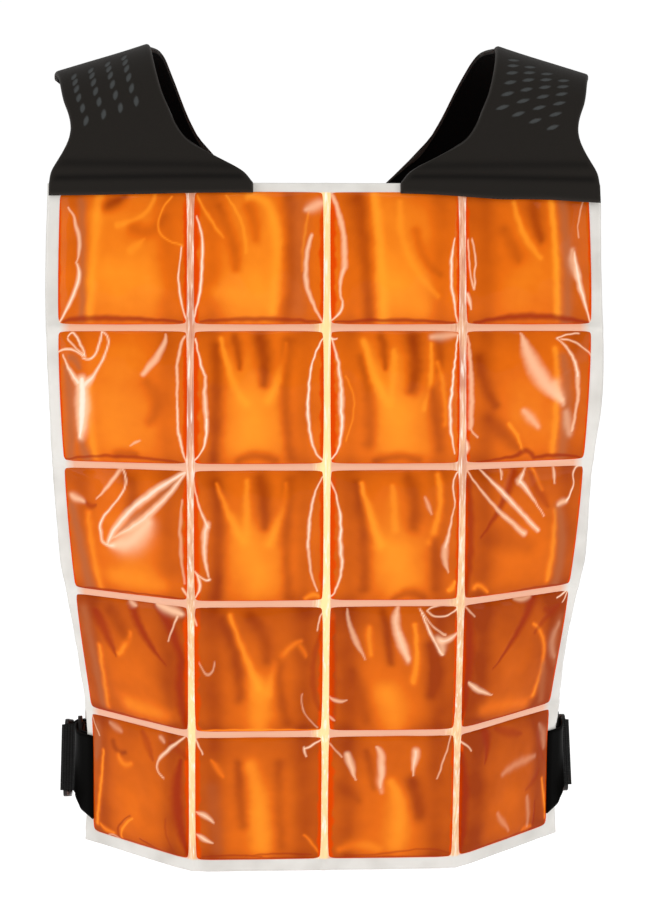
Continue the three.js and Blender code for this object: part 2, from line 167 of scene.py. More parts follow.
def uprightCut(form, v):
    depth = 0 * v
    drop = 0 * v
    for k in range(bendPieces):
        share = (k + 0.5) / bendPieces * (v / panelHeight)
        lean = np.radians(readForm(form, np.maximum(share, 0), "lean"))
        depth = depth + np.sin(lean) * v / bendPieces
        drop = drop + np.cos(lean) * v / bendPieces
    return depth, drop


def panelPoint(panel, u, v):
    u, v = np.broadcast_arrays(np.asarray(u, float), np.asarray(v, float))
    share = np.clip(v / panelHeight, 0, 1)
    x, levelDepth = levelCut(u, readForm(panel["form"], share, "turn"))
    uprightDepth, drop = uprightCut(panel["form"], v)
    outside = np.maximum(abs(u) - columnPitch, 0) / (halfPanel - columnPitch)
    lift = readForm(panel["form"], share, "lift") * rowPitch * outside
    y = panel["facing"] * (panel["depth"] - levelDepth - uprightDepth)
    return np.stack([x, y, -crestHeight - drop + lift], axis=-1)


def offPanel(panel, u, v, height):
    alongU = panelPoint(panel, u + probe, v) - panelPoint(panel, u - probe, v)
    alongV = panelPoint(panel, u, v + probe) - panelPoint(panel, u, v - probe)
    normal = unit(np.cross(alongU, alongV)) * panel["facing"]
    return panelPoint(panel, u, v) + normal * np.asarray(height)[..., None]


# Soft random waves that repeat from run to run: a sum of sines with seeded phases.
def ripples(seed, x, y, length):
    source = np.random.default_rng(seed)
    total = 0
    for k in range(5):
        angle = source.uniform(0, 2 * math.pi)
        wave = length * source.uniform(0.6, 1.6)
        along = x * math.cos(angle) + y * math.sin(angle)
        total = total + np.sin(2 * math.pi * along / wave + source.uniform(0, 2 * math.pi))
    return total / 5


def corners(mesh):
    spots = np.empty(len(mesh.vertices) * 3)
    mesh.vertices.foreach_get("co", spots)
    return spots.reshape(-1, 3)


def settle(work, name, place, spread):
    mesh = bpy.data.meshes.new(name)
    work.to_mesh(mesh)
    work.free()
    grid = corners(mesh)
    spots, looks = place(grid[:, 0] + 0.5, grid[:, 1] + 0.5, grid[:, 2])
    mesh.vertices.foreach_set("co", (spots * mm).ravel())
    loops = np.empty(len(mesh.loops), int)
    mesh.loops.foreach_get("vertex_index", loops)
    uv = mesh.uv_layers.new(name="flat")
    uv.data.foreach_set("uv", ((grid[loops, :2] + 0.5) * spread).ravel())
    for key, values in looks.items():
        layer = mesh.attributes.new(key, "FLOAT", "POINT")
        layer.data.foreach_set("value", np.broadcast_to(values, len(grid)).astype(float))
    mesh.polygons.foreach_set("use_smooth", np.ones(len(mesh.polygons), bool))
    mesh.update()
    turned = bmesh.new()
    turned.from_mesh(mesh)
    bmesh.ops.recalc_face_normals(turned, faces=turned.faces)
    turned.to_mesh(mesh)
    turned.free()
    piece = bpy.data.objects.new(name, mesh)
    bpy.context.scene.collection.objects.link(piece)
    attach(piece, "root")
    return piece


# The grid of a closed piece: an outer face, an inner face and a wall between their rims.
def closedGrid(outer, inner):
    work = bmesh.new()
    for level, (across, along) in ((1, outer), (0, inner)):
        made = bmesh.ops.create_grid(work, x_segments=across, y_segments=along, size=0.5)
        for vertex in made["verts"]:
            vertex.co.z = level
    rims = [edge for edge in work.edges if edge.is_boundary]
    bmesh.ops.bridge_loops(work, edges=rims)
    return work


def openGrid(across, along):
    work = bmesh.new()
    bmesh.ops.create_grid(work, x_segments=across, y_segments=along, size=0.5)
    return work


def addModifier(piece, kind, **settings):
    modifier = piece.modifiers.new(kind.lower(), kind)
    for key, value in settings.items():
        setattr(modifier, key, value)
    return modifier


# Strokes on a pocket, in percent of its width and height from its upper left corner. Each runs
# from one spot through a middle one to an end, with its half-width at those three spots.
# glow and shade are painted light and shade in the gel's tone, the brownish kind a painted dull
# reflection of the film, the fold kind a deep crease darkened with painted shade, gleam a painted sharp
# highlight on a raised crease and the soft pale kind a painted soft highlight.
strokeColumns = ("kind", "x0", "y0", "x1", "y1", "x2", "y2", "w0", "w1", "w2", "strength")
pocketStrokes = {
    "r1c1": [
        ("gleam", 8, 12, 17, 35, 14.5, 54, 0.3, 1.5, 0.4, 0.7),
        ("gleam", 14.5, 54, 16, 70, 0.5, 99, 0.5, 1.8, 0.4, 0.85),
        ("dullReflection", 18, 8, 20, 50, 19, 95, 3.5, 3, 3, 0.7),
        ("shade", 36, 11, 43, 9, 52, 4, 5, 5, 3, 0.7),
        ("glow", 32, 3, 30, 30, 25, 95, 4, 4.5, 3, 0.6),
        ("glow", 75, 2, 68, 17, 47, 26, 1.5, 2, 2.5, 0.5),
        ("glow", 57, 45, 62, 41, 68, 36, 3, 3, 1, 0.4),
        ("shade", 60, 28, 72, 30, 82, 20, 6, 6, 4, 0.35),
        ("glow", 88, 4, 78, 28, 97, 41, 0.8, 0.9, 0.8, 0.6),
        ("glow", 40, 60, 60, 66, 75, 72, 12, 16, 12, 0.35),
        ("gleam", 95.5, 42, 94, 74, 101, 99, 0.3, 0.8, 0.4, 0.9),
        ("shadedFold", 4, 97.5, 32, 95, 96, 97.5, 1, 2.4, 1, 0.8),
    ],
    "r1c2": [
        ("gleam", 3, 19, 7.2, 52, 0, 98, 0.4, 1.2, 0.5, 0.9),
        ("glow", 3, 3, 12, 20, 23, 35, 1, 1.4, 1, 0.6),
        ("glow", 25, 3, 37, 25, 40, 46, 0.8, 1.2, 1.4, 0.55),
        ("shade", 20, 12, 29, 35, 33, 58, 4, 6, 4, 0.4),
        ("shade", 42, 12, 46, 22, 48, 36, 4, 5, 4, 0.3),
        ("glow", 42, 4, 62, 24, 61, 90, 3, 4.5, 4, 0.7),
        ("glow", 20, 75, 36, 76, 52, 78, 8, 12, 10, 0.4),
        ("shade", 73, 4, 75, 50, 71, 96, 6, 7, 7, 0.55),
        ("dullReflection", 80, 10, 82, 40, 80, 90, 8, 7, 6, 0.3),
        ("softHighlight", 86, 14, 93, 11, 98, 9, 2, 4, 3, 0.6),
        ("glow", 88, 16, 84, 40, 83, 60, 1, 1.3, 1, 0.5),
        ("gleam", 90, 33, 86.5, 68, 100, 99, 1.2, 1.6, 0.5, 0.75),
        ("shadedFold", 6, 97.5, 50, 95.5, 96, 98, 1, 1.8, 1, 0.7),
    ],
    "r1c3": [
        ("gleam", 2, 3, 9.5, 28, 11, 57, 1.4, 1.8, 2.2, 0.7),
        ("gleam", 11, 57, 7.5, 72, 9.5, 82, 1.8, 1, 0.8, 0.75),
        ("gleam", 9.5, 82, 7, 91, -3, 99, 0.8, 0.9, 0.4, 0.85),
        ("shade", 22, 6, 27, 50, 30, 96, 8, 7, 6, 0.65),
        ("glow", 34, 3, 38, 40, 41, 96, 4, 4, 5, 0.7),
        ("glow", 54, 8, 59, 46, 83, 79, 2.5, 3, 2, 0.4),
        ("shade", 66, 30, 72, 50, 84, 62, 4, 4, 3, 0.3),
        ("glow", 50, 72, 60, 80, 70, 88, 10, 12, 8, 0.35),
        ("gleam", 96, 35, 93, 62, 98, 98, 0.3, 1.2, 0.4, 0.9),
        ("shadedFold", 4, 98, 50, 96.5, 96, 98.5, 0.8, 1.6, 0.8, 0.8),
    ],
    "r1c4": [
        ("gleam", 2, 36, 2.8, 55, 5.5, 73, 0.4, 0.5, 0.5, 0.8),
        ("gleam", 5, 36, 7, 52, 6, 73, 0.4, 0.5, 0.5, 0.8),
        ("gleam", 1, 77, 3, 83, 4, 88, 1.3, 1.2, 0.3, 0.8),
        ("shade", 55, 4, 54, 18, 58, 36, 6, 7, 4, 0.6),
        ("glow", 38, 8, 45, 32, 58, 50, 2, 2.5, 2, 0.6),
        ("shade", 30, 30, 38, 45, 40, 52, 5, 6, 4, 0.35),
        ("glow", 68, 8, 70, 50, 72, 94, 3, 3, 3, 0.8),
        ("dullReflection", 77, 4, 79, 50, 79, 97, 4, 5, 5, 0.8),
        ("gleam", 95, 5, 90, 20, 89, 34, 0.3, 0.5, 0.4, 0.5),
        ("softHighlight", 84, 44, 84, 54, 87, 64, 2, 3, 2, 0.5),
        ("gleam", 86, 46, 89, 68, 99, 99, 0.8, 2, 0.4, 0.85),
        ("shadedFold", 6, 98.5, 52, 93.5, 97, 98.5, 1, 2.8, 1, 0.85),
    ],
    "r2c1": [
        ("gleam", 8, 4, 14, 3, 22, 19, 0.5, 0.8, 0.7, 0.9),
        ("gleam", 8, 5, 12, 10, 22, 19, 0.5, 0.6, 0.7, 0.85),
        ("gleam", -1, 17, 9, 13.5, 20, 19, 0.5, 0.8, 0.6, 0.9),
        ("gleam", 20, 20, 29, 18, 34, 1, 0.5, 0.9, 0.7, 0.9),
        ("gleam", 34, 1, 40, 9, 34, 24, 0.7, 0.8, 0.9, 0.9),
        ("gleam", 34, 24, 28, 33, 21, 40, 0.9, 1.6, 4, 0.85),
        ("gleam", 4, 18, 9, 28, 16, 38, 0.7, 1.2, 3, 0.85),
        ("gleam", 19, 36, 19, 56, 16, 80, 3.5, 5, 1.5, 0.9),
        ("softHighlight", 18, 40, 19, 60, 17, 80, 4, 5, 3, 0.6),
        ("dullReflection", 10, 20, 14, 22, 17, 27, 3, 3, 2, 0.8),
        ("dullReflection", 7, 27, 9, 55, 7, 96, 3, 4.5, 4, 0.8),
        ("dullReflection", 16, 80, 18, 88, 20, 97, 2, 4, 4, 0.8),
        ("glow", 25, 42, 25, 66, 27, 95, 3, 3.5, 3, 0.5),
        ("gleam", 83, 3, 80, 15, 66.5, 32, 0.7, 2.2, 1.8, 0.7),
        ("shade", 70, 38, 77, 54, 72, 68, 5, 6, 4, 0.35),
        ("shade", 45, 93, 52, 92, 60, 93, 4, 4, 3, 0.5),
        ("gleam", 56, 86, 60, 83.5, 64, 82, 0.3, 0.9, 0.3, 0.6),
        ("gleam", 98, 4, 93, 22, 92.5, 52, 0.6, 1, 0.8, 0.75),
        ("gleam", 92.5, 52, 94, 78, 99.5, 99, 0.8, 1, 0.4, 0.85),
        ("shadedFold", 2, 98, 44, 94.5, 97, 99, 0.6, 1.5, 0.8, 0.7),
    ],
    "r2c2": [
        ("gleam", 2, 6, 5, 22, 9.5, 34, 0.4, 0.8, 0.9, 0.9),
        ("gleam", 9.5, 34, 9, 52, 10.5, 66, 0.9, 1.6, 1.8, 0.8),
        ("gleam", 10.5, 66, 8, 86, 0, 98, 1.8, 0.8, 0.4, 0.9),
        ("shade", 18, 12, 18, 50, 16, 96, 5, 5.5, 5, 0.55),
        ("glow", 21, 6, 29, 34, 40, 54, 2, 3, 4, 0.65),
        ("glow", 71, 10, 68, 28, 57, 52, 1.5, 3, 4, 0.75),
        ("shade", 51, 6, 54, 22, 54, 40, 7, 7, 4, 0.75),
        ("shade", 32, 5, 34, 15, 36, 28, 4, 4, 2, 0.6),
        ("glow", 43, 55, 46, 70, 46, 84, 14, 15, 14, 0.45),
        ("shade", 35, 97, 48, 93, 62, 97, 4, 4.5, 4, 0.5),
        ("shade", 73, 8, 70, 50, 75, 95, 6, 5, 5, 0.5),
        ("gleam", 99, 6, 90, 28, 87.5, 58, 0.3, 0.8, 1.3, 0.95),
        ("gleam", 87.5, 58, 91, 84, 99, 97, 1.3, 1, 0.4, 0.9),
    ],
    "r2c3": [
        ("gleam", -3, 2, 1, 6, 5, 6, 0.4, 1, 0.4, 0.9),
        ("gleam", 1, 5, 7, 30, 8.5, 58, 0.5, 1.3, 2.1, 0.85),
        ("gleam", 8.5, 58, 7.5, 84, 0, 97, 2, 1, 0.4, 0.9),
        ("glow", 12, 34, 18, 55, 12, 82, 0.7, 0.9, 0.6, 0.45),
        ("shade", 24, 20, 30, 55, 30, 84, 4, 6, 6, 0.55),
        ("glow", 26, 8, 33, 32, 43, 52, 3, 3.8, 4, 0.75),
        ("shade", 39, 5, 41, 15, 42, 28, 4, 4, 2, 0.6),
        ("glow", 49, 15, 48, 34, 46, 55, 2, 3, 3, 0.5),
        ("shade", 64, 6, 65, 28, 62, 44, 8, 7, 5, 0.75),
        ("glow", 77, 10, 77, 36, 72, 58, 1.6, 2, 2, 0.6),
        ("shade", 83, 7, 84, 18, 83, 30, 4, 4, 3, 0.5),
        ("glow", 82, 24, 87, 45, 88, 70, 2, 2.4, 2, 0.45),
        ("shade", 78, 45, 80, 62, 84, 88, 4, 5, 5, 0.45),
        ("glow", 50, 60, 51, 74, 52, 84, 13, 15, 14, 0.45),
        ("shade", 36, 98, 52, 94, 68, 97, 4, 4, 4, 0.5),
        ("softHighlight", 78, 5, 88, 4, 97, 3, 2, 3, 1.5, 0.55),
        ("gleam", 98.5, 3, 95, 28, 92, 54, 0.5, 0.8, 1.2, 0.95),
        ("gleam", 92, 54, 92.5, 74, 96, 92, 1.2, 1.1, 0.3, 0.9),
    ],
    "r2c4": [
        ("gleam", 1.5, 4, 3.8, 40, 3.2, 73, 0.7, 1.7, 1.6, 0.65),
        ("gleam", 3, 73, 6, 77, 9, 80, 0.5, 0.6, 0.3, 0.7),
        ("gleam", -0.5, 82, 1.2, 88, 0, 94, 0.5, 1.6, 0.4, 0.85),
        ("gleam", 43, 2, 55, 30, 75, 52, 0.6, 6, 2, 0.7),
        ("softHighlight", 70, 40, 74, 48, 77, 55, 4, 3.5, 2, 0.55),
        ("softHighlight", 45, 60, 50, 65, 57, 72, 2, 3.2, 2, 0.55),
        ("gleam", 71, 6, 82, 16, 88.5, 34, 0.4, 1.1, 1.8, 0.85),
        ("gleam", 88.5, 34, 89, 54, 86, 76, 1.8, 1.4, 1, 0.7),
        ("softHighlight", 80, 62, 82, 70, 84, 78, 3, 4, 3, 0.4),
        ("gleam", 71, 6, 79, 3, 89, 2.5, 0.4, 0.5, 0.3, 0.85),
        ("gleam", 75, 6, 89, 10.5, 101, 20, 0.4, 0.6, 0.4, 0.85),
        ("dullReflection", 76, 20, 80, 50, 79, 96, 4, 5, 5, 0.75),
        ("glow", 70, 14, 71.5, 45, 71, 92, 2.5, 3, 3, 0.6),
        ("shade", 10, 20, 13, 38, 22, 56, 5, 5, 4, 0.6),
        ("shade", 18, 66, 27, 75, 41, 88, 6, 7, 5, 0.5),
        ("glow", 33, 70, 40, 79, 46, 91, 1.5, 1.5, 1, 0.7),
        ("shadedFold", 9, 99, 28, 97, 42, 94.5, 0.6, 1.1, 1.6, 0.8),
        ("shadedFold", 42, 94.5, 49, 91, 56, 97, 1.8, 2.2, 1.6, 0.8),
        ("shadedFold", 56, 97, 78, 95.5, 98, 99, 1.6, 1.5, 0.7, 0.8),
    ],
    "r3c1": [
        ("gleam", 47, 0, 38, 12, 28, 23, 1.6, 1.4, 0.3, 0.75),
        ("gleam", 48, 0, 52, 10, 45, 23, 0.7, 0.8, 0.8, 0.9),
        ("gleam", 45, 23, 33, 38, 30.5, 48, 0.8, 1.2, 1.3, 0.9),
        ("gleam", 30.5, 48, 32, 57, 41, 59, 1.3, 1.2, 1.8, 0.85),
        ("gleam", 36, 57, 58, 29, 98, 2, 1.4, 3, 1.8, 0.85),
        ("gleam", 40, 53, 70, 34, 98, 3, 0.5, 2.6, 0.8, 0.8),
        ("dullReflection", 46, 48, 66, 31, 90, 9, 1, 2.4, 1.6, 0.7),
        ("softHighlight", 40, 59, 56, 54, 70, 40, 3, 9, 5, 0.85),
        ("dullReflection", 6, 30, 11, 62, 15, 96, 4, 5, 5, 0.85),
        ("softHighlight", 6, 22, 10, 23.5, 16, 26, 2, 3, 1.5, 0.7),
        ("shadedFold", 18, 26, 22, 29, 27, 28, 1, 2.6, 1, 0.6),
        ("shade", 52, 6, 58, 16, 54, 32, 6, 6, 5, 0.55),
        ("glow", 20, 35, 22, 66, 25, 96, 3, 3.5, 3, 0.5),
        ("glow", 40, 84, 60, 86, 80, 88, 8, 10, 8, 0.4),
        ("gleam", 96, 22, 95, 55, 97.5, 86, 0.6, 1.2, 0.7, 0.45),
        ("gleam", 96, 90, 98, 94, 99.5, 98, 0.8, 0.8, 0.3, 0.8),
        ("shadedFold", 1, 99, 30, 98, 62, 98, 0.6, 1.3, 0.7, 0.8),
        ("shadedFold", 62, 98, 80, 98, 98, 99, 0.7, 0.9, 0.5, 0.8),
    ],
    "r3c2": [
        ("gleam", 0, 6, 5, 28, 11.5, 42, 0.4, 0.8, 1.6, 0.85),
        ("gleam", 11, 40, 8.5, 58, 12, 80, 2.2, 2, 0.7, 0.8),
        ("gleam", 12.5, 82, 8, 82, 1, 77, 0.9, 0.7, 0.4, 0.9),
        ("gleam", 1, 77, 5, 87, 1, 97, 0.4, 1.2, 0.4, 0.85),
        ("shade", 17, 10, 20, 42, 18, 96, 5, 6, 5, 0.6),
        ("glow", 18, 10, 28, 34, 38, 52, 1.5, 3, 4, 0.6),
        ("glow", 41, 8, 41, 26, 41, 46, 2.5, 3, 4, 0.6),
        ("shade", 51, 6, 54, 24, 54, 42, 6, 7, 4, 0.65),
        ("glow", 71, 10, 69, 28, 58, 54, 1.5, 3, 4, 0.7),
        ("glow", 42, 55, 47, 70, 48, 88, 12, 13, 13, 0.45),
        ("shade", 74, 8, 71, 50, 73, 96, 6, 5, 5, 0.5),
        ("gleam", 98.5, 5, 90, 28, 88, 58, 0.4, 1, 1.2, 0.85),
        ("gleam", 88, 58, 90, 76, 95, 92, 1.1, 0.9, 0.3, 0.75),
        ("glow", 86, 98, 92, 95, 98, 98, 2, 2.5, 1.5, 0.6),
    ],
    "r3c3": [
        ("gleam", -1, 6, 6.5, 26, 8, 52, 0.5, 0.8, 1.5, 0.9),
        ("gleam", 8, 52, 8, 82, 0, 97, 1.5, 1, 0.4, 0.85),
        ("shade", 20, 10, 26, 48, 27, 90, 4, 5.5, 5, 0.55),
        ("glow", 24, 10, 31, 34, 39, 56, 2, 3.4, 4, 0.75),
        ("glow", 48, 12, 49, 28, 50, 44, 2.2, 3, 3, 0.5),
        ("shade", 60, 6, 65, 24, 64, 42, 6, 7, 5, 0.55),
        ("softHighlight", 73, 20, 75, 26, 78, 33, 0.5, 1.4, 0.6, 0.5),
        ("glow", 83, 4, 84, 30, 77, 54, 2.5, 3, 3, 0.65),
        ("shade", 80, 52, 81, 70, 82, 90, 4, 5, 5, 0.5),
        ("glow", 50, 60, 52, 74, 54, 86, 13, 15, 14, 0.45),
        ("shade", 50, 98, 62, 93.5, 72, 98, 3, 5, 4, 0.55),
        ("gleam", 99, 2, 95, 9, 96, 24, 0.6, 0.7, 0.6, 0.9),
        ("gleam", 96, 24, 92, 44, 89, 58, 0.6, 1, 2, 0.8),
        ("gleam", 89, 58, 88.5, 68, 91, 78, 2.4, 2, 0.4, 0.6),
        ("glow", 92, 92, 95, 90, 97, 86, 2, 2.5, 1.5, 0.7),
    ],
    "r3c4": [
        ("shadedFold", 40, 3, 28, 28, 12, 52, 3.5, 2.6, 0.3, 0.75),
        ("shadedFold", 53, 4, 60, 18, 68, 30, 2, 4.5, 2, 0.5),
        ("shadedFold", 2, 8, 4, 50, 1.5, 96, 2, 2.8, 2, 0.7),
        ("gleam", 2, 2, 21, 27, 49, 51, 0.4, 1.2, 2.4, 0.8),
        ("gleam", 11, 0, 33, 22, 60, 49, 0.6, 1.7, 1.6, 0.85),
        ("gleam", 50, 0, 45, 6, 43, 11, 0.5, 1.4, 2.2, 0.85),
        ("gleam", 43, 10, 53, 21, 65, 38, 2.4, 1.2, 0.3, 0.85),
        ("gleam", 28, 0, 28.5, 3, 29, 8, 0.5, 0.9, 0.3, 0.85),
        ("gleam", 73, 0, 73.5, 6, 74, 13, 0.7, 1, 0.3, 0.8),
        ("gleam", 99, 1, 92, 2.5, 90.5, 9, 0.7, 0.8, 0.7, 0.85),
        ("gleam", 90.5, 9, 90, 19, 85, 27, 0.7, 0.7, 1.2, 0.9),
        ("softHighlight", 78, 30, 81, 28, 85, 28, 1.5, 2.4, 1.5, 0.75),
        ("dullReflection", 78, 32, 84, 60, 84, 96, 4, 5.5, 5, 0.8),
        ("glow", 75, 34, 76, 60, 75, 92, 2.5, 3, 3, 0.6),
        ("glow", 55, 0, 58, 8, 63, 17, 1.6, 1.8, 1.5, 0.6),
        ("shade", 20, 55, 36, 56, 52, 62, 8, 9, 8, 0.3),
        ("shadedFold", 42, 98.5, 70, 98, 99, 99, 0.5, 1.1, 0.5, 0.7),
        ("glow", 8, 92, 12, 90, 20, 96, 2, 2.5, 1.5, 0.6),
    ],
    "r4c1": [
        ("shadedFold", 19, 12, 27, 25, 37, 46, 3, 5, 0.6, 0.75),
        ("shadedFold", 52, 0, 62, 22, 83, 47, 3.5, 3.4, 0.4, 0.85),
        ("shadedFold", 74, 1, 88, 20, 95, 44, 3, 4, 3, 0.85),
        ("shadedFold", 95, 42, 94, 70, 98, 97, 3, 4, 2.5, 0.85),
        ("softHighlight", 74, 0.5, 84, 3, 95, 6, 1, 3.6, 2, 0.85),
        ("gleam", 92, 8, 88.5, 17, 85, 28, 0.9, 0.6, 0.3, 0.8),
        ("softHighlight", 50, 0, 53, 2, 56, 3.5, 1, 2, 1, 0.7),
        ("dullReflection", 8, 12, 13, 50, 16, 92, 5, 5, 4, 0.75),
        ("glow", 21, 40, 21, 66, 21, 93, 2.5, 3, 3, 0.6),
        ("glow", 51, 25, 47, 34, 40, 43, 2, 3, 2.5, 0.6),
        ("shade", 33, 10, 42, 20, 48, 30, 6, 6, 4, 0.4),
        ("glow", 45, 86, 60, 88, 80, 90, 8, 9, 8, 0.45),
        ("shadedFold", 2, 99, 40, 98, 98, 99.5, 0.6, 1.1, 0.5, 0.7),
    ],
    "r4c2": [
        ("gleam", -2, 4, 1, 9, 2.5, 14, 0.4, 0.6, 0.3, 0.8),
        ("gleam", 5, 43, 8, 50, 11, 52, 0.3, 0.7, 1.1, 0.5),
        ("gleam", 11, 52, 14, 49, 15.5, 42, 1.1, 0.7, 0.3, 0.5),
        ("shade", 22, 10, 32, 38, 36, 70, 5, 6, 5, 0.6),
        ("glow", 28, 6, 37, 30, 50, 62, 2, 2.5, 4, 0.65),
        ("shade", 44, 8, 54, 22, 56, 40, 6, 7, 5, 0.55),
        ("glow", 82, 26, 66, 40, 58, 66, 2, 3, 4, 0.45),
        ("glow", 49, 62, 51, 76, 50, 96, 9, 10, 9, 0.6),
        ("shade", 66, 40, 67, 66, 72, 92, 4, 5, 5, 0.5),
        ("glow", 82, 30, 84, 33, 86, 38, 2, 2.6, 1.6, 0.4),
        ("gleam", 101, 3, 97, 10, 95, 18, 0.4, 0.7, 0.3, 0.8),
        ("gleam", 84, 68, 85, 82, 96, 97, 0.4, 0.6, 0.3, 0.45),
        ("shadedFold", 98, 20, 92, 52, 97, 82, 1.5, 2.4, 1.5, 0.45),
        ("glow", 2, 99, 40, 98, 98, 99, 0.8, 1, 0.8, 0.7),
    ],
    "r4c3": [
        ("gleam", 14, 2, 18, 20, 28, 40, 0.6, 1.9, 0.5, 0.55),
        ("gleam", 53.5, 0, 52, 16, 61, 40, 1, 3.2, 2, 0.75),
        ("softHighlight", 54, 20, 58, 32, 61, 42, 2, 3, 2, 0.35),
        ("gleam", 70, 2, 78, 20, 88, 38, 0.5, 1.1, 0.8, 0.9),
        ("gleam", 86, 26, 92, 26, 101, 21, 2, 2.4, 0.5, 0.8),
        ("softHighlight", 84, 25, 87, 30, 88, 37, 2.5, 3, 1.5, 0.6),
        ("gleam", 70, 2, 82, 17, 90, 22, 0.4, 0.6, 0.8, 0.8),
        ("gleam", 76, 4, 86, 0, 100, 1, 0.4, 0.5, 0.4, 0.85),
        ("gleam", 76, 4, 88, 8, 101, 2, 0.4, 0.5, 0.8, 0.85),
        ("gleam", 1, 72, 7, 74.5, 14, 74, 0.5, 1.3, 0.3, 0.7),
        ("gleam", 0, 87, 3, 90, 5, 91, 0.5, 1, 0.3, 0.6),
        ("shadedFold", 3, 12, 4, 50, 4, 92, 1.8, 2.6, 2, 0.4),
        ("shade", 42, 4, 45, 22, 48, 42, 4, 4, 4, 0.65),
        ("glow", 31, 16, 31, 25, 32, 36, 2.5, 3, 2, 0.5),
        ("glow", 66, 14, 68, 36, 66, 58, 2, 2.5, 3, 0.65),
        ("shade", 78, 30, 82, 50, 80, 70, 5, 6, 5, 0.7),
        ("glow", 44, 68, 50, 80, 52, 94, 11, 12, 12, 0.5),
        ("shade", 18, 50, 26, 70, 30, 90, 5, 6, 5, 0.35),
    ],
    "r4c4": [
        ("shadedFold", 63, 1, 49, 26, 26, 53, 5, 3, 0.4, 0.8),
        ("shadedFold", 76, 12, 82, 15, 90, 11, 2.5, 4, 2, 0.5),
        ("shadedFold", 66, 30, 74, 22, 84, 14, 1.5, 2.6, 2, 0.5),
        ("shadedFold", 2, 6, 4.5, 38, 1, 92, 2.4, 4, 1.6, 0.85),
        ("gleam", 99.5, 0, 94, 2, 87, 5, 0.5, 0.8, 0.4, 0.9),
        ("gleam", 99, 1, 96, 5, 93, 9, 0.5, 0.7, 0.3, 0.85),
        ("dullReflection", 93, 22, 88, 42, 95, 62, 4, 6, 3, 0.5),
        ("softHighlight", 92, 26, 87, 42, 93, 56, 2, 4, 2, 0.22),
        ("glow", 64, 22, 78, 45, 74, 86, 1.6, 2.5, 2.5, 0.6),
        ("gleam", 5, 62, 13, 69, 27, 76, 0.4, 2, 0.4, 0.8),
        ("gleam", 2, 2, 5, 6, 9, 10, 0.3, 0.7, 0.3, 0.6),
        ("softHighlight", 46, 0.5, 54, 1.5, 61, 0.5, 1.2, 1.8, 1.2, 0.6),
        ("dullReflection", 80, 60, 83, 76, 86, 93, 4, 5, 4, 0.7),
        ("glow", 20, 88, 40, 88, 66, 92, 7, 8, 6, 0.35),
        ("shadedFold", 2, 99.5, 50, 98.5, 99, 99.5, 0.5, 0.9, 0.5, 0.6),
    ],
    "r5c1": [
        ("gleam", 1, 2, 5, 9, 10, 17, 0.4, 0.6, 0.3, 0.65),
        ("gleam", 97, 1, 82, 14, 74, 24, 0.6, 1.5, 1, 0.8),
        ("gleam", 74, 24, 73, 31, 79, 37, 1, 0.8, 0.3, 0.8),
        ("softHighlight", 22, 4, 28, 6, 34, 8, 1.5, 2.4, 1.5, 0.3),
        ("softHighlight", 74, 5, 76, 6, 78, 8, 1.2, 1.8, 1.2, 0.45),
        ("shadedFold", 94, 20, 91, 56, 98, 97, 1.5, 5.5, 1.6, 0.9),
        ("shadedFold", 56, 4, 62, 13, 68, 24, 2, 3.6, 1.6, 0.5),
        ("shadedFold", 84, 8, 92, 12, 98, 18, 2, 3, 2, 0.45),
        ("shade", 26, 18, 31, 25, 40, 24, 2.5, 3, 2, 0.6),
        ("dullReflection", 8, 8, 8, 20, 6, 36, 3, 4, 3, 0.7),
        ("glow", 14, 28, 12, 50, 6, 92, 1.6, 1.8, 2, 0.7),
        ("glow", 32, 28, 38, 34, 46, 32, 2.5, 3, 2, 0.5),
        ("shadedFold", 44, 76, 30, 89, 30, 99, 0.4, 0.9, 0.8, 0.7),
        ("glow", 46, 78, 34, 90, 33, 99, 0.8, 1.2, 1, 0.7),
        ("shadedFold", 52, 93, 62, 96.5, 72, 98.5, 0.4, 0.8, 0.4, 0.7),
        ("shadedFold", 80, 70, 80, 84, 86, 96, 0.6, 1, 0.5, 0.4),
        ("glow", 10, 92, 16, 95, 24, 96, 1.5, 2.5, 1.5, 0.6),
        ("gleam", 18, 99, 24, 98, 30, 99.5, 0.4, 0.7, 0.4, 0.5),
        ("shadedFold", 1, 99.5, 50, 98.5, 99, 99.5, 0.5, 0.8, 0.5, 0.6),
    ],
    "r5c2": [
        ("gleam", 1, 2, 4, 7, 6.5, 13, 0.5, 0.7, 0.3, 0.85),
        ("gleam", 2, 61, 8, 63, 15, 68.5, 0.4, 2, 0.4, 0.8),
        ("gleam", 1.5, 79, 7, 82, 14, 85.5, 0.4, 2, 0.4, 0.8),
        ("gleam", 99, 3, 91, 7, 85.5, 9, 0.5, 0.9, 0.6, 0.85),
        ("gleam", 85.5, 8, 86, 11, 87, 15, 0.8, 1, 0.3, 0.85),
        ("shade", 34, 20, 36, 42, 38, 70, 4, 5, 5, 0.55),
        ("glow", 44, 22, 50, 52, 52, 88, 6, 8, 9, 0.6),
        ("shade", 66, 20, 66, 50, 68, 88, 4, 5, 5, 0.4),
        ("glow", 14, 18, 18, 24, 22, 30, 1.5, 2.5, 1.5, 0.4),
        ("dullReflection", 14, 40, 16, 66, 18, 90, 5, 6, 5, 0.3),
        ("shadedFold", 6, 97, 30, 95.5, 52, 97, 0.4, 0.9, 0.5, 0.6),
        ("shadedFold", 40, 96.5, 64, 94.5, 92, 96, 0.4, 0.9, 0.5, 0.6),
        ("glow", 86, 80, 92, 86, 98, 96, 1, 1.2, 0.8, 0.5),
        ("shadedFold", 2, 99, 50, 98.5, 98, 99, 0.5, 0.9, 0.5, 0.6),
    ],
    "r5c3": [
        ("gleam", 15, 14, 18, 22, 21.5, 34, 2.4, 2.6, 0.3, 0.75),
        ("gleam", 38, 8, 42, 18, 41, 40, 0.8, 2.7, 0.6, 0.7),
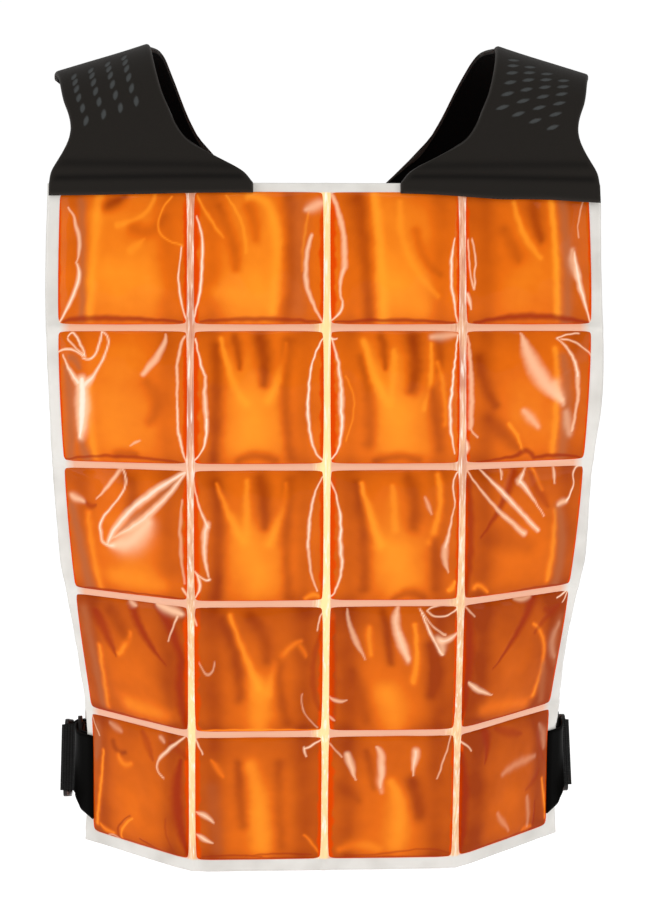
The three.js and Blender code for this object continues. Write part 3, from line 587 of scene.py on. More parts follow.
        ("softHighlight", 42, 24, 41, 34, 42, 44, 2.4, 2.4, 1.5, 0.35),
        ("gleam", 69, 12, 68, 19, 67, 31, 3, 2.2, 0.3, 0.8),
        ("gleam", 97, 0, 92, 16, 86, 34, 0.5, 0.6, 0.3, 0.65),
        ("gleam", 1, 6, 6, 11, 11, 16, 0.4, 0.6, 0.3, 0.55),
        ("shade", 66, 36, 70, 50, 72, 64, 6, 8, 6, 0.7),
        ("shade", 10, 40, 16, 44, 24, 50, 5, 6, 4, 0.4),
        ("glow", 50, 36, 57, 60, 54, 88, 4, 8, 9, 0.6),
        ("shade", 30, 12, 33, 24, 36, 40, 3, 4, 3, 0.45),
        ("glow", 10, 92, 24, 88, 40, 92, 3, 5, 4, 0.35),
        ("shadedFold", 14, 97, 40, 96, 70, 92, 0.4, 1, 0.5, 0.5),
        ("shadedFold", 70, 92, 84, 93, 98, 97, 0.5, 0.9, 0.5, 0.5),
        ("shadedFold", 2, 99, 50, 98.5, 98, 99, 0.5, 0.9, 0.5, 0.6),
    ],
    "r5c4": [
        ("gleam", 0, 6, 5, 10.5, 9, 15, 0.6, 0.6, 0.3, 0.85),
        ("shadedFold", 24, 1, 25, 14, 22, 29, 4.5, 3.4, 0.4, 0.75),
        ("shadedFold", 36, 3, 50, 9, 64, 13, 2, 4, 1.6, 0.5),
        ("shadedFold", 1, 16, 4, 54, 2, 96, 2, 4, 1.8, 0.85),
        ("shadedFold", 84, 16, 88, 30, 93, 42, 1.2, 2.4, 1, 0.4),
        ("softHighlight", 86, 10, 91, 20, 93, 32, 1.5, 4, 2, 0.22),
        ("softHighlight", 42, 42, 58, 37, 80, 36, 2, 3.6, 2, 0.25),
        ("softHighlight", 38, 74, 44, 82, 52, 92, 1.4, 2.2, 1, 0.25),
        ("softHighlight", 72, 68, 74, 80, 75, 94, 1.6, 2.2, 1.2, 0.25),
        ("shadedFold", 86, 50, 80, 56, 70, 62, 1.5, 2.8, 1.2, 0.4),
        ("shadedFold", 82, 74, 82.5, 86, 81, 96, 0.5, 1.1, 0.6, 0.7),
        ("glow", 91, 58, 95, 78, 97, 93, 1.4, 1.6, 1.2, 0.7),
        ("glow", 70, 96, 74, 95, 80, 96, 2, 2.4, 1.5, 0.4),
        ("shadedFold", 1, 99.5, 50, 98, 99, 99, 0.5, 1, 0.5, 0.7),
    ],
}

# How strokes are drawn: the points along one, its least half-width in percent, where a sharp one
# starts to fade and ends, in half-widths, and how far it raises or sinks the film, in millimetres.
strokeForm = {"points": 22, "thinnest": 0.6, "core": 0.1, "reach": 1.7, "raised": 0.35, "sunk": 0.5}
softKinds = ("glow", "shade", "dullReflection", "softHighlight")

# The red rims of painted shade inside a pocket's left, right and lower welds, by column: widths in
# millimetres.
rimForm = {"left": [2.2, 4.4, 4.2, 2.6], "right": [2.8, 3.2, 2.6, 2.4], "bottom": [0.9, 0.8, 0.8, 0.9]}


# How strongly each spot (x, y) in percent lies on a stroke, from 0 to its strength.
def strokeAt(stroke, x, y):
    t = np.linspace(0, 1, strokeForm["points"])
    bend = lambda a, b, c: (1 - t) * (1 - 2 * t) * a + 4 * t * (1 - t) * b + t * (2 * t - 1) * c
    px = bend(stroke["x0"], stroke["x1"], stroke["x2"])
    py = bend(stroke["y0"], stroke["y1"], stroke["y2"])
    widths = np.maximum(bend(stroke["w0"], stroke["w1"], stroke["w2"]), strokeForm["thinnest"])
    runX, runY = np.diff(px), np.diff(py)
    fromX, fromY = x[:, None] - px[:-1], y[:, None] - py[:-1]
    along = np.clip((fromX * runX + fromY * runY) / (runX ** 2 + runY ** 2), 0, 1)
    away = np.hypot(fromX - along * runX, fromY - along * runY) / (widths[:-1] + along * np.diff(widths))
    nearest = away.min(axis=1)
    if stroke["kind"] in softKinds:
        return stroke["strength"] * np.exp(-(nearest ** 2))
    return stroke["strength"] * (1 - smoothstep(nearest, strokeForm["core"], strokeForm["reach"]))


def pocketLooks(panel, row, column, x, y):
    looks = {key: np.zeros(len(x)) for key in ("shadedFold", "gleam", "dullReflection", "softHighlight")}
    sides = np.minimum(x, 100 - x)
    inward = pocketForm["inward"][column]
    toneAndShading = pocketForm["toneAndShading"][row] + pocketForm["column"][column]
    # Painted shade at the bottom, the top and towards the sides, and painted light around the lower middle.
    toneAndShading = toneAndShading - 0.12 * np.exp(-(((100 - y) / 7) ** 2)) - 0.1 * np.exp(-((y / 16) ** 2))
    toneAndShading -= inward * 0.2 * np.exp(-(((sides - 15) / 9) ** 2)) + 0.12 * np.exp(-((sides / 8) ** 2))
    toneAndShading += inward * 0.12 * np.exp(-(((x - 50) / 20) ** 2) - ((y - 66) / 26) ** 2)
    seed = 100 + 10 * row + column
    strokeX = x + 0.7 * ripples(seed + 90, x, y, 16) + 0.4 * ripples(seed + 91, x, y, 7)
    strokeY = y + 0.6 * ripples(seed + 92, x, y, 12)
    ridge = np.zeros(len(x))
    key = f"r{row + 1}c{column + 1}"
    strokes = pocketStrokes[key] if panel is front else []
    for entry in strokes:
        stroke = dict(zip(strokeColumns, entry))
        value = strokeAt(stroke, strokeX, strokeY)
        kind = stroke["kind"]
        # Glow strokes paint light in and shade strokes paint shade; the other kinds keep their strongest
        # value.
        if kind == "glow":
            toneAndShading += value * (1 - toneAndShading)
        elif kind == "shade":
            toneAndShading -= value * toneAndShading
        else:
            looks[kind] = np.maximum(looks[kind], value)
        if kind == "gleam":
            ridge += strokeForm["raised"] * value
        if kind == "shadedFold":
            ridge -= strokeForm["sunk"] * value
    if panel is back:
        toneAndShading += 0.25 * ripples(700 + row * 7 + column, x, y * 0.5, 60)
    # A red rim of painted shade inside the left, right and lower welds, its width waving, fainter near the
    # top.
    wave = 1 + 0.35 * ripples(seed, 0 * y, y, 16) + 0.25 * ripples(seed + 50, 0 * y, y, 7)
    toLeft = x / 100 * windowWidth / (rimForm["left"][column] * wave)
    toRight = (1 - x / 100) * windowWidth / (rimForm["right"][column] * (2 - wave))
    under = 1 + 0.4 * ripples(seed + 80, x, 0 * x, 20)
    toBottom = (1 - y / 100) * windowHeight / (rimForm["bottom"][column] * under)
    rim = 1 - smoothstep(np.minimum(np.minimum(toLeft, toRight), toBottom), 0.55, 1.15)
    looks["rim"] = rim * (0.35 + 0.65 * smoothstep(y, 3, 16))
    looks["toneAndShading"] = np.clip(toneAndShading, 0, 1)
    return looks, ridge


def pocketPlace(panel, row, column):
    left = -halfPanel + sideBorder + column * columnPitch
    top = topBorder + row * rowPitch
    tuck = pocketForm["tuck"]

    def place(a, b, face):
        a, b = (share - 0.4 * np.sin(2 * math.pi * share) / (2 * math.pi) for share in (a, b))
        x, y = 100 * a, 100 * (1 - b)
        u = left - tuck + a * (windowWidth + 2 * tuck)
        v = top - tuck + (1 - b) * (windowHeight + 2 * tuck)
        sunk = (1 - b) + pocketForm["sink"][row] * np.sin(math.pi * (1 - b))
        dome = np.maximum(np.sin(math.pi * a) * np.sin(math.pi * sunk), 0)
        tongues = 0.07 * np.sin(5 * math.pi * a) * np.cos(2 * math.pi * b)
        crown = panel["crown"] * pocketForm["crown"][row] * dome ** 0.42 * (1 + tongues)
        looks, ridge = pocketLooks(panel, row, column, x, y)
        seed = 300 + 10 * row + column + (50 if panel is back else 0)
        soft = ripples(seed, u, v, 38) * 0.35 + ripples(seed + 5, u, v, 15) * 0.12
        inside = np.clip(dome * 6, 0, 1)
        height = crown + inside * (soft + np.where(face > 0.5, ridge, 0))
        side = np.where(face > 0.5, 1, -1)
        return offPanel(panel, u, v, side * height), looks

    return place


# A wrapped node socket: arithmetic on it adds nodes to the same tree.
class Wire:
    def __init__(self, tree, socket):
        self.tree = tree
        self.socket = socket

    def make(self, kind, inputs=None, output=0, **settings):
        node = self.tree.nodes.new(kind)
        for key, value in settings.items():
            setattr(node, key, value)
        for key, value in (inputs or {}).items():
            if isinstance(value, Wire):
                self.tree.links.new(value.socket, node.inputs[key])
            else:
                node.inputs[key].default_value = value
        return Wire(self.tree, node.outputs[output])

    def math(self, operation, first, second=0.0):
        return self.make("ShaderNodeMath", {0: first, 1: second}, operation=operation)

    def __add__(self, other):
        return self.math("ADD", self, other)

    def __sub__(self, other):
        return self.math("SUBTRACT", self, other)

    def __rsub__(self, other):
        return self.math("SUBTRACT", other, self)

    def __mul__(self, other):
        return self.math("MULTIPLY", self, other)

    def __truediv__(self, other):
        return self.math("DIVIDE", self, other)

    def __rtruediv__(self, other):
        return self.math("DIVIDE", other, self)

    __radd__ = __add__
    __rmul__ = __mul__

    def clamped(self, low=0.0, high=1.0):
        return self.make("ShaderNodeClamp", {0: self, 1: low, 2: high})

    # A colour between two, by this value.
    def mixed(self, low, high):
        return self.make(
            "ShaderNodeMix", {0: self, 6: low, 7: high}, output=2, data_type="RGBA"
        )

    def scaled(self, factor):
        return self.make("ShaderNodeVectorMath", {0: self, 1: factor}, operation="MULTIPLY")


def paint(red, green, blue):
    linear = lambda c: c / 12.92 if c <= 0.04045 else ((c + 0.055) / 1.055) ** 2.4
    return (*(linear(c / 255) for c in (red, green, blue)), 1)


def newMaterial(name, **constants):
    material = bpy.data.materials.new(name)
    material.use_nodes = True
    tree = material.node_tree
    shader = tree.nodes["Principled BSDF"]
    for key, value in constants.items():
        shader.inputs[key].default_value = value
    start = Wire(tree, None)

    def feed(key, value):
        tree.links.new(value.socket, shader.inputs[key])

    return material, start, feed


def attribute(start, name):
    return start.make("ShaderNodeAttribute", output=2, attribute_name=name)


def objectPlace(start):
    return start.make("ShaderNodeTexCoord", output=3)


def flatPlace(start):
    return start.make("ShaderNodeTexCoord", output=2)


def noise(start, place, scale, detail=2.0, roughness=0.5):
    return start.make(
        "ShaderNodeTexNoise", {"Vector": place, "Scale": scale, "Detail": detail, "Roughness": roughness}
    )


def bump(start, height, strength, distance):
    return start.make(
        "ShaderNodeBump", {"Height": height, "Strength": strength, "Distance": distance}
    )


# The gel's colours: the first three span its painted shade and light, then a painted dull reflection, the
# painted shade of rims and of folds, and two painted highlights.
gelForm = {
    "dark": paint(150, 54, 0),
    "middle": paint(218, 101, 10),
    "bright": paint(250, 148, 34),
    "dullReflection": paint(172, 92, 50),
    "rim": paint(214, 68, 4),
    "foldShadeColour": paint(150, 38, 2),
    "paleHighlight": paint(250, 198, 160),
    "whiteHighlight": paint(255, 246, 236),
}


def gelMaterial():
    material, start, feed = newMaterial("gel", **{
        "Coat Roughness": 0.05, "Roughness": 0.3, "Emission Strength": 0.1, "Specular IOR Level": 0.0,
    })
    place = objectPlace(start)
    # Painted light and shade, with a random mottle, set the gel's colour between dark, middle and bright.
    toneAndShading = attribute(start, "toneAndShading") + (noise(start, place, 45) - 0.5) * 0.25
    toneAndShading = toneAndShading.clamped()
    lower = ((toneAndShading - 0.1) * 2.4).clamped()
    upper = ((toneAndShading - 0.52) * 2.4).clamped()
    colour = upper.mixed(lower.mixed(gelForm["dark"], gelForm["middle"]), gelForm["bright"])
    # A painted dull reflection of the film mutes the gel towards brown where those strokes lie.
    colour = attribute(start, "dullReflection").mixed(colour, gelForm["dullReflection"])
    # Red painted shade along the pocket's rims, where less coat is laid as well.
    rim = attribute(start, "rim")
    colour = rim.mixed(colour, gelForm["rim"])
    # Deep red painted shade in the creases.
    colour = attribute(start, "shadedFold").mixed(colour, gelForm["foldShadeColour"])
    # Painted highlights: soft pale ones, and sharp ones that turn white where strongest.
    softHighlight = attribute(start, "softHighlight")
    colour = softHighlight.mixed(colour, gelForm["paleHighlight"])
    gleam = attribute(start, "gleam")
    colour = gleam.clamped().mixed(colour, gelForm["paleHighlight"])
    colour = ((gleam - 0.72) * 3).clamped().mixed(colour, gelForm["whiteHighlight"])
    feed("Base Color", colour)
    # The gel also glows faintly in its own colour, a painted glow of light passing through it.
    feed("Emission Color", colour)
    feed("Coat Weight", (1 - rim) * 0.17)
    fine = noise(start, place, 260, detail=3)
    feed("Normal", bump(start, fine, 0.25, 0.0004))
    return material


# The film's colours: clear and a darker grey, mixed at random over the border, and peach for the welds with a
# painted shadow, a painted yellow glow and a painted highlight.
filmForm = {
    "clear": paint(213, 210, 204),
    "shade": paint(184, 180, 173),
    "peach": paint(224, 162, 128),
    "shadow": paint(196, 122, 92),
    "weldGlow": paint(255, 222, 150),
    "light": paint(255, 240, 226),
}


def filmMaterial():
    material, start, feed = newMaterial("film", **{
        "Coat Roughness": 0.06, "Coat Weight": 0.8, "Roughness": 0.3, "Emission Strength": 0.1,
    })
    place = objectPlace(start)
    broad = noise(start, place, 40)
    colour = ((broad - 0.4) * 2).clamped().mixed(filmForm["clear"], filmForm["shade"])
    warm = attribute(start, "warm")
    weldGlow = attribute(start, "weldGlow")
    # Over the upright welds: painted shadow in streaks and patches, the painted yellow glow by row, and
    # painted highlight streaks.
    shineAndShadeStreaks = noise(start, place.scaled((1, 1, 0.08)), 700, detail=3)
    glow = weldGlow.mixed(filmForm["peach"], filmForm["weldGlow"])
    upright = attribute(start, "upright")
    glow = (((0.5 - shineAndShadeStreaks) * 5).clamped() * upright * (1 - weldGlow)).mixed(glow, filmForm["shadow"])
    shadowPatches = ((noise(start, place, 24) - 0.48) * 7).clamped() * upright * (1 - weldGlow)
    glow = (shadowPatches * 0.8).mixed(glow, filmForm["shadow"])
    glow = (((shineAndShadeStreaks - 0.53) * 5).clamped() * upright).mixed(glow, filmForm["light"])
    colour = warm.mixed(colour, glow)
    feed("Base Color", colour)
    # The film also glows faintly in its own colour, a painted glow.
    feed("Emission Color", colour)
    feed("Normal", bump(start, noise(start, place, 120, detail=3), 0.2, 0.0006))
    return material


# The pads' crease colour is painted shade and the sliders' glint colour a painted highlight.
clothForm = {
    "neoprene": paint(32, 29, 26),
    "shadedFold": paint(18, 16, 14),
    "edge": paint(52, 49, 46),
    "slot": paint(66, 68, 68),
    "lining": paint(0, 0, 0),
    "under": paint(4, 4, 4),
    "webbing": paint(5, 4, 4),
    "dot": paint(46, 46, 44),
    "tab": paint(7, 6, 5),
    "slider": paint(6, 5, 4),
    "glint": paint(30, 22, 18),
}


def neopreneMaterial():
    material, start, feed = newMaterial("neoprene", **{
        "Roughness": 0.85, "Sheen Weight": 0.04, "Sheen Roughness": 0.5, "Specular IOR Level": 0.08,
    })
    place = objectPlace(start)
    # Painted shade darkens the pad's creases.
    colour = attribute(start, "creaseShade").clamped().mixed(clothForm["neoprene"], clothForm["shadedFold"])
    colour = (attribute(start, "edge") * 0.6).clamped().mixed(colour, clothForm["edge"])
    colour = attribute(start, "slot").clamped().mixed(colour, clothForm["slot"])
    feed("Base Color", colour)
    knit = noise(start, place, 1400, detail=2)
    feed("Normal", bump(start, knit, 0.3, 0.0003))
    return material


def plainCloth(name, colour, scale, roughness):
    material, start, feed = newMaterial(name, **{"Roughness": roughness, "Specular IOR Level": 0.02})
    place = objectPlace(start)
    grainAndGlint = noise(start, place, scale, detail=2)
    feed("Base Color", grainAndGlint.mixed(colour, clothForm["under"]))
    feed("Normal", bump(start, grainAndGlint, 0.4, 0.0003))
    return material


def webbingMaterial():
    material, start, feed = newMaterial("webbing", **{"Roughness": 0.75, "Specular IOR Level": 0.03})
    flat = flatPlace(start)
    across = start.make("ShaderNodeSeparateXYZ", {0: flat}, output=1)
    along = start.make("ShaderNodeSeparateXYZ", {0: flat}, output=0)
    ribs = start.math("SINE", across * (2 * math.pi / 1.6))
    weave = start.math("SINE", along * (2 * math.pi / 5))
    dots = ((ribs * weave - 0.62) * 4).clamped()
    feed("Base Color", dots.mixed(clothForm["webbing"], clothForm["dot"]))
    feed("Normal", bump(start, ribs + weave, 0.5, 0.0004))
    return material


def sliderMaterial():
    material, start, feed = newMaterial("slider", **{
        "Coat Weight": 0.25, "Roughness": 0.3, "Specular IOR Level": 0.2,
    })
    place = objectPlace(start)
    grainAndGlint = noise(start, place, 300)
    # Random spots of a brownish painted highlight on the near-black slider.
    feed("Base Color", grainAndGlint.mixed(clothForm["slider"], clothForm["glint"]))
    return material


finishes = {
    "gel": gelMaterial(),
    "film": filmMaterial(),
    "neoprene": neopreneMaterial(),
    "lining": plainCloth("lining", clothForm["lining"], 1600, 0.9),
    "tab": plainCloth("tab", clothForm["tab"], 900, 0.55),
    "webbing": webbingMaterial(),
    "slider": sliderMaterial(),
}


def dress(piece, slot, *nodes):
    piece.data.materials.clear()
    piece.data.materials.append(finishes[slot])
    if nodes:
        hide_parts(*nodes)


for panel in (front, back):
    for row in range(rows):
        for column in range(columns):
            node = f"{panel['name']}_pocket_r{row + 1}_c{column + 1}"
            cells = panel["cells"]
            grid = closedGrid((cells, cells), (pocketForm["innerCells"],) * 2)
            spread = (windowWidth, windowHeight)
            place = pocketPlace(panel, row, column)
            pocket = settle(grid, f"{panel['name']}Pocket{row + 1}{column + 1}", place, spread)
            dress(pocket, "gel", node)
print("stage: pockets made")


# The flat lines of the film's grid: fine in the borders and welds, coarser over the windows.
def filmLines(count, pitch, window, start, end):
    lines = list(np.linspace(0, start, 6, endpoint=False))
    for k in range(count):
        low = start + k * pitch
        lines += list(np.linspace(low, low + window, 12, endpoint=False))
        if k < count - 1:
            lines += list(np.linspace(low + window, low + pitch, 6, endpoint=False))
    return np.array(lines + list(np.linspace(end - (end - start - (count - 1) * pitch - window), end, 7)))


uLines = filmLines(columns, columnPitch, windowWidth, sideBorder, panelWidth)
vLines = filmLines(rows, rowPitch, windowHeight, topBorder, panelHeight)

# How strongly each upright weld shows a painted yellow glow, by row.
weldGlowForm = {
    "at": [0, 0.15, 0.35, 0.55, 0.75, 1],
    "left": [0, 0.05, 0.05, 0.35, 0.9, 0.6],
    "middle": [0.9, 0.9, 1, 1, 0.95, 0.8],
    "right": [0, 0.1, 0.2, 0.45, 0.6, 0.5],
}


# Between the windows the film is crowned. Inside them its pockets hide it, and it stays level.
def filmPlace(panel):
    def place(a, b, face):
        u = np.interp(a * (len(uLines) - 1), np.arange(len(uLines)), uLines) - halfPanel
        v = np.interp((1 - b) * (len(vLines) - 1), np.arange(len(vLines)), vLines)
        share = v / panelHeight
        fromSide = (halfPanel - abs(u)) / sideBorder
        outside = np.clip(1 - fromSide, 0, 1)
        wave = np.where(u < 0, readForm(edgeForm, share, "left"), readForm(edgeForm, share, "right"))
        inU = np.clip((u + halfPanel - sideBorder) % columnPitch - windowWidth, 0, weldWidth) / weldWidth
        inV = np.clip((v - topBorder) % rowPitch - windowHeight, 0, weldWidth) / weldWidth
        betweenU = (fromSide > 1) & (inU > 0)
        betweenV = (v > topBorder) & (v < panelHeight - bottomBorder) & (inV > 0)
        crown = np.where(betweenU, 0.7 * np.sin(math.pi * inU), 0)
        crown = np.maximum(crown, np.where(betweenV, 0.45 * np.sin(math.pi * inV), 0))
        atBottom = np.clip((v - panelHeight + bottomBorder) / bottomBorder, 0, 1)
        border = np.maximum(outside, atBottom)
        creases = 0.9 * ripples(40, 0.25 * u, v, 34) + 0.35 * ripples(43, 0.4 * u, v, 11)
        along = 0.7 * ripples(46, u, 0.3 * v, 70) * atBottom
        height = crown + border * np.where(outside > 0, creases, 0) + along
        glints = 0.12 * ripples(49, u, v, 5) * (betweenU | betweenV)
        spots = offPanel(panel, u + np.sign(u) * wave * outside, v, height + glints)
        index = np.clip(np.round((u + halfPanel - sideBorder + weldWidth / 2) / columnPitch), 1, 3)
        # The painted yellow glow of the upright weld a spot lies on.
        readGlow = lambda name: readForm(weldGlowForm, share, name)
        weldGlow = np.where(index == 1, readGlow("left"), np.where(index == 2, readGlow("middle"), readGlow("right")))
        inner = (fromSide > 1) & (v > topBorder - 0.5) & (v < panelHeight - bottomBorder + 0.5)
        warm = np.where(inner, 1.0, 0.0)
        looks = {"warm": warm, "upright": betweenU, "weldGlow": np.where(betweenU, np.clip(weldGlow, 0, 1), 0)}
        return spots, looks

    return place


for panel in (front, back):
    grid = openGrid(len(uLines) - 1, len(vLines) - 1)
    film = settle(grid, f"{panel['name']}Film", filmPlace(panel), (panelWidth, panelHeight))
    addModifier(film, "SOLIDIFY", thickness=filmThickness * mm, offset=0)
    dress(film, "film", *(f"{panel['name']}_film_{part}" for part in ("left", "middle", "right")))
print("stage: films made")


# The middle line of a pad's half, read by share of its length from the panel's top to the crest.
def padLine(panel):
    lean = -math.radians(panel["form"]["lean"][0])
    rise = panel["rise"] * crestHeight
    bottom = np.array([panel["depth"] - filmThickness / 2, -crestHeight])
    above = bottom + np.array([-math.sin(lean), math.cos(lean)]) * rise
    behind = np.array([panel["behind"] * panel["depth"], 0])
    crest = np.array([0, 0])
    t = np.linspace(0, 1, 400)[:, None]
    points = (1 - t) ** 3 * bottom + 3 * t * (1 - t) ** 2 * above
    points = points + 3 * t * t * (1 - t) * behind + t ** 3 * crest
    lengths = np.concatenate([[0], np.cumsum(np.hypot(*np.diff(points, axis=0).T))])
    start = unit(above - bottom)
    return {"points": points, "shares": lengths / lengths[-1], "length": lengths[-1], "start": start}


for panel in (front, back):
    panel["padLine"] = padLine(panel)


def padEdge(share, edge):
    return halfPanel * readForm(padForm, np.maximum(share, 0), edge)


def padHalf(panel, share, across):
    line = panel["padLine"]
    held = np.clip(share, 0, 1)
    depth = np.interp(held, line["shares"], line["points"][:, 0])
    height = np.interp(held, line["shares"], line["points"][:, 1])
    below = np.minimum(share, 0) * line["length"]
    depth = depth + below * line["start"][0]
    height = height + below * line["start"][1]
    hang = (1 - held) ** 2
    x, levelDepth = levelCut(across, panel["form"]["turn"][0])
    x = across + (x - across) * hang
    slope = math.tan(math.radians(shoulderSlope)) * smoothstep(share, 0.1, 1)
    z = height - slope * (across - padEdge(1, "frontNeck")) - crestSink * smoothstep(share, 0.3, 1)
    standOff = (filmThickness + clearance) * (1 - smoothstep(share, 0, 0.4))
    y = panel["facing"] * (depth - hang * levelDepth + standOff)
    return np.stack([x, y, z], axis=-1)


def padPoint(station, across):
    onFront = (station <= 1)[..., None]
    return np.where(onFront, padHalf(front, station, across), padHalf(back, 2 - station, across))


def padOff(station, across, height):
    step = 0.01
    alongU = padPoint(station, across + 2 * probe) - padPoint(station, across - 2 * probe)
    alongV = padPoint(station + step, across) - padPoint(station - step, across)
    return padPoint(station, across) + unit(np.cross(alongU, alongV)) * np.asarray(height)[..., None]


def padAcross(station, share, inset=0):
    half = np.where(station <= 1, station, 2 - station)
    neck = np.where(station <= 1, padEdge(half, "frontNeck"), padEdge(half, "backNeck"))
    low = neck + inset
    high = padEdge(half, "outer") - inset
    return low + (high - low) * share


# The pads' slots: where their columns start and stand, as shares, the steps up a column, and the
# turn of their length outwards from the pad's own. Lower says how far a pad's lower edge hangs
# beyond a level cut, in millimetres, from the neck to the outer edge.
slotForm = {
    "steps": [0, 0.074, 0.142, 0.205, 0.26, 0.31], "slant": 0.16, "length": 8.2, "width": 3,
    "left": {"start": 0.444, "across": [0.29, 0.47, 0.655, 0.84], "turn": -23},
    "right": {"start": 0.4, "across": [0.19, 0.37, 0.555, 0.74], "turn": 66},
}
lowerForm = {
    "at": [0, 0.125, 0.25, 0.375, 0.5, 0.625, 0.75, 0.875, 1],
    "left": [0, 0.1, 0.3, 0.6, 0.9, 1.2, 1.4, 1.6, 1.7],
    "right": [0.4, 0.8, 1.9, 3.2, 4.2, 4, 4.1, 5.2, 6],
}


def slotsAt(hand, a, station, width, length):
    form = slotForm[hand]
    turn = math.radians(form["turn"])
    slots = np.zeros(len(a))
    for spot in form["across"]:
        for step in slotForm["steps"]:
            out = (a - spot) * width
            up = (station - form["start"] - step + slotForm["slant"] * spot) * length
            along = (out * math.sin(turn) + up * math.cos(turn)) / (slotForm["length"] / 2)
            over = (out * math.cos(turn) - up * math.sin(turn)) / (slotForm["width"] / 2)
            slots = np.maximum(slots, 1 - smoothstep(abs(along) ** 1.6 + abs(over) ** 1.6, 0.6, 1.4))
    return slots


def padPlace(hand, side):
    overlap = topBorder - clearance
    first = -overlap / front["padLine"]["length"]
    last = 2 + overlap / back["padLine"]["length"]

    def place(a, b, face):
        b = np.interp(b, [0, 0.62, 1], [0, 0.42, 1])
        drop = readForm(lowerForm, a, hand) * (1 - smoothstep(b, 0, 0.07))
        station = first + b * (last - first) - drop / front["padLine"]["length"]
        across = padAcross(station, a)
        half = np.where(station <= 1, station, 2 - station)
        length = np.where(station <= 1, front["padLine"]["length"], back["padLine"]["length"])
        width = padAcross(station, 1) - padAcross(station, 0)
        toSide = np.minimum(a, 1 - a) * width
        toEnd = np.minimum(b, 1 - b) * (last - first) * length
        toRim = np.minimum(toSide, toEnd)
        rounding = np.sqrt(np.clip(1 - (1 - np.clip(toRim / 2.6, 0, 1)) ** 2, 0, 1))
        up = half * length
        folds = np.exp(-(((up - 4) / 2.2) ** 2)) + 0.7 * np.exp(-(((up - 11 - 3 * a) / 3) ** 2))
        folds = folds * smoothstep(toRim, 1, 6)
        slots = slotsAt(hand, a, station, width, length)
        soft = 0.4 * ripples(60, across, up, 45)
        outer = padThickness * (0.3 + 0.7 * rounding) + soft * smoothstep(toRim, 1, 8) * 0.6
        outer = outer - 0.6 * folds - 0.5 * slots
        inner = padThickness * 0.3 * (1 - rounding)
        spots = padOff(station, across, np.where(face > 0.5, outer, inner) + 0.4 * drop)
        spots[:, 0] *= side
        edge = np.exp(-((toRim / 1.2) ** 2))
        # The creases are also marked for painted shade.
        return spots, {"creaseShade": folds, "edge": edge, "slot": slots * (face > 0.5)}

    return place


def liningPlace(side):
    first = liningStart / front["padLine"]["length"]
    last = 2 - liningStart / back["padLine"]["length"]

    def place(a, b, face):
        station = first + b * (last - first)
        across = padAcross(station, a, liningInset)
        spots = padOff(station, across, np.full(len(a), -clearance - liningThickness / 2))
        spots[:, 0] *= side
        return spots, {}

    return place


# The lining's flat cut, in metres: its widest place, its length, and its area from the outline.
def liningCut():
    lengths = front["padLine"]["length"], back["padLine"]["length"]
    stations = np.linspace(liningStart / lengths[0], 2 - liningStart / lengths[1], 400)
    widths = padAcross(stations, 1, liningInset) - padAcross(stations, 0, liningInset)
    area = np.mean(widths * np.where(stations <= 1, *lengths)) * (stations[-1] - stations[0])
    return widths.max() * mm, (sum(lengths) - 2 * liningStart) * mm, area * mm * mm


for hand, side in (("left", -1), ("right", 1)):
    pad = settle(closedGrid((120, 260), (40, 130)), f"{hand}Pad", padPlace(hand, side), (110, 400))
    dress(pad, "neoprene", f"{hand}_shoulder_pad")
    lining = settle(openGrid(28, 90), f"{hand}Lining", liningPlace(side), (110, 400))
    addModifier(lining, "SOLIDIFY", thickness=liningThickness * mm, offset=0)
    dress(lining, "lining", f"{hand}_pad_lining")
    width, length, area = liningCut()
print("stage: pads made")


# The straps' ends on the vest's right, in a frame that falls from the front sliders to the back.
def strapEnd(panel):
    level = panel["strapLevel"]
    edge = panelPoint(panel, halfPanel, level)
    along = panelPoint(panel, halfPanel + 1, level) - edge
    along[2] = 0
    flare = math.radians(strapFlare)
    heading = np.array([math.sin(flare), -panel["facing"] * math.cos(flare), 0])
    between = unit(unit(along) + heading)
    centre = edge + between * tabReach + heading * sliderLength / 2
    outward = np.array([heading[1], -heading[0], 0]) * -panel["facing"]
    return {"centre": centre, "heading": heading, "outward": outward}


ends = {"front": strapEnd(front), "back": strapEnd(back)}
origin = np.array([0, ends["front"]["centre"][1], ends["front"]["centre"][2]])
strapRun = ends["back"]["centre"][1] - origin[1]
strapFall = origin[2] - ends["back"]["centre"][2]
strapLength = math.hypot(strapRun, strapFall)
tilt = math.atan2(strapFall, strapRun)
for name, y in (("front", 0), ("back", strapLength)):
    ends[name]["centre"] = np.array([ends[name]["centre"][0], y, 0])


def inWorld(points, side):
    y = points[..., 1] * math.cos(tilt) + points[..., 2] * math.sin(tilt)
    z = -points[..., 1] * math.sin(tilt) + points[..., 2] * math.cos(tilt)
    return np.stack([side * points[..., 0], y + origin[1], z + origin[2]], axis=-1)


def bezier(a, b, c, d, t):
    t = np.asarray(t)[..., None]
    return (1 - t) ** 3 * a + 3 * t * (1 - t) ** 2 * b + 3 * t * t * (1 - t) * c + t ** 3 * d


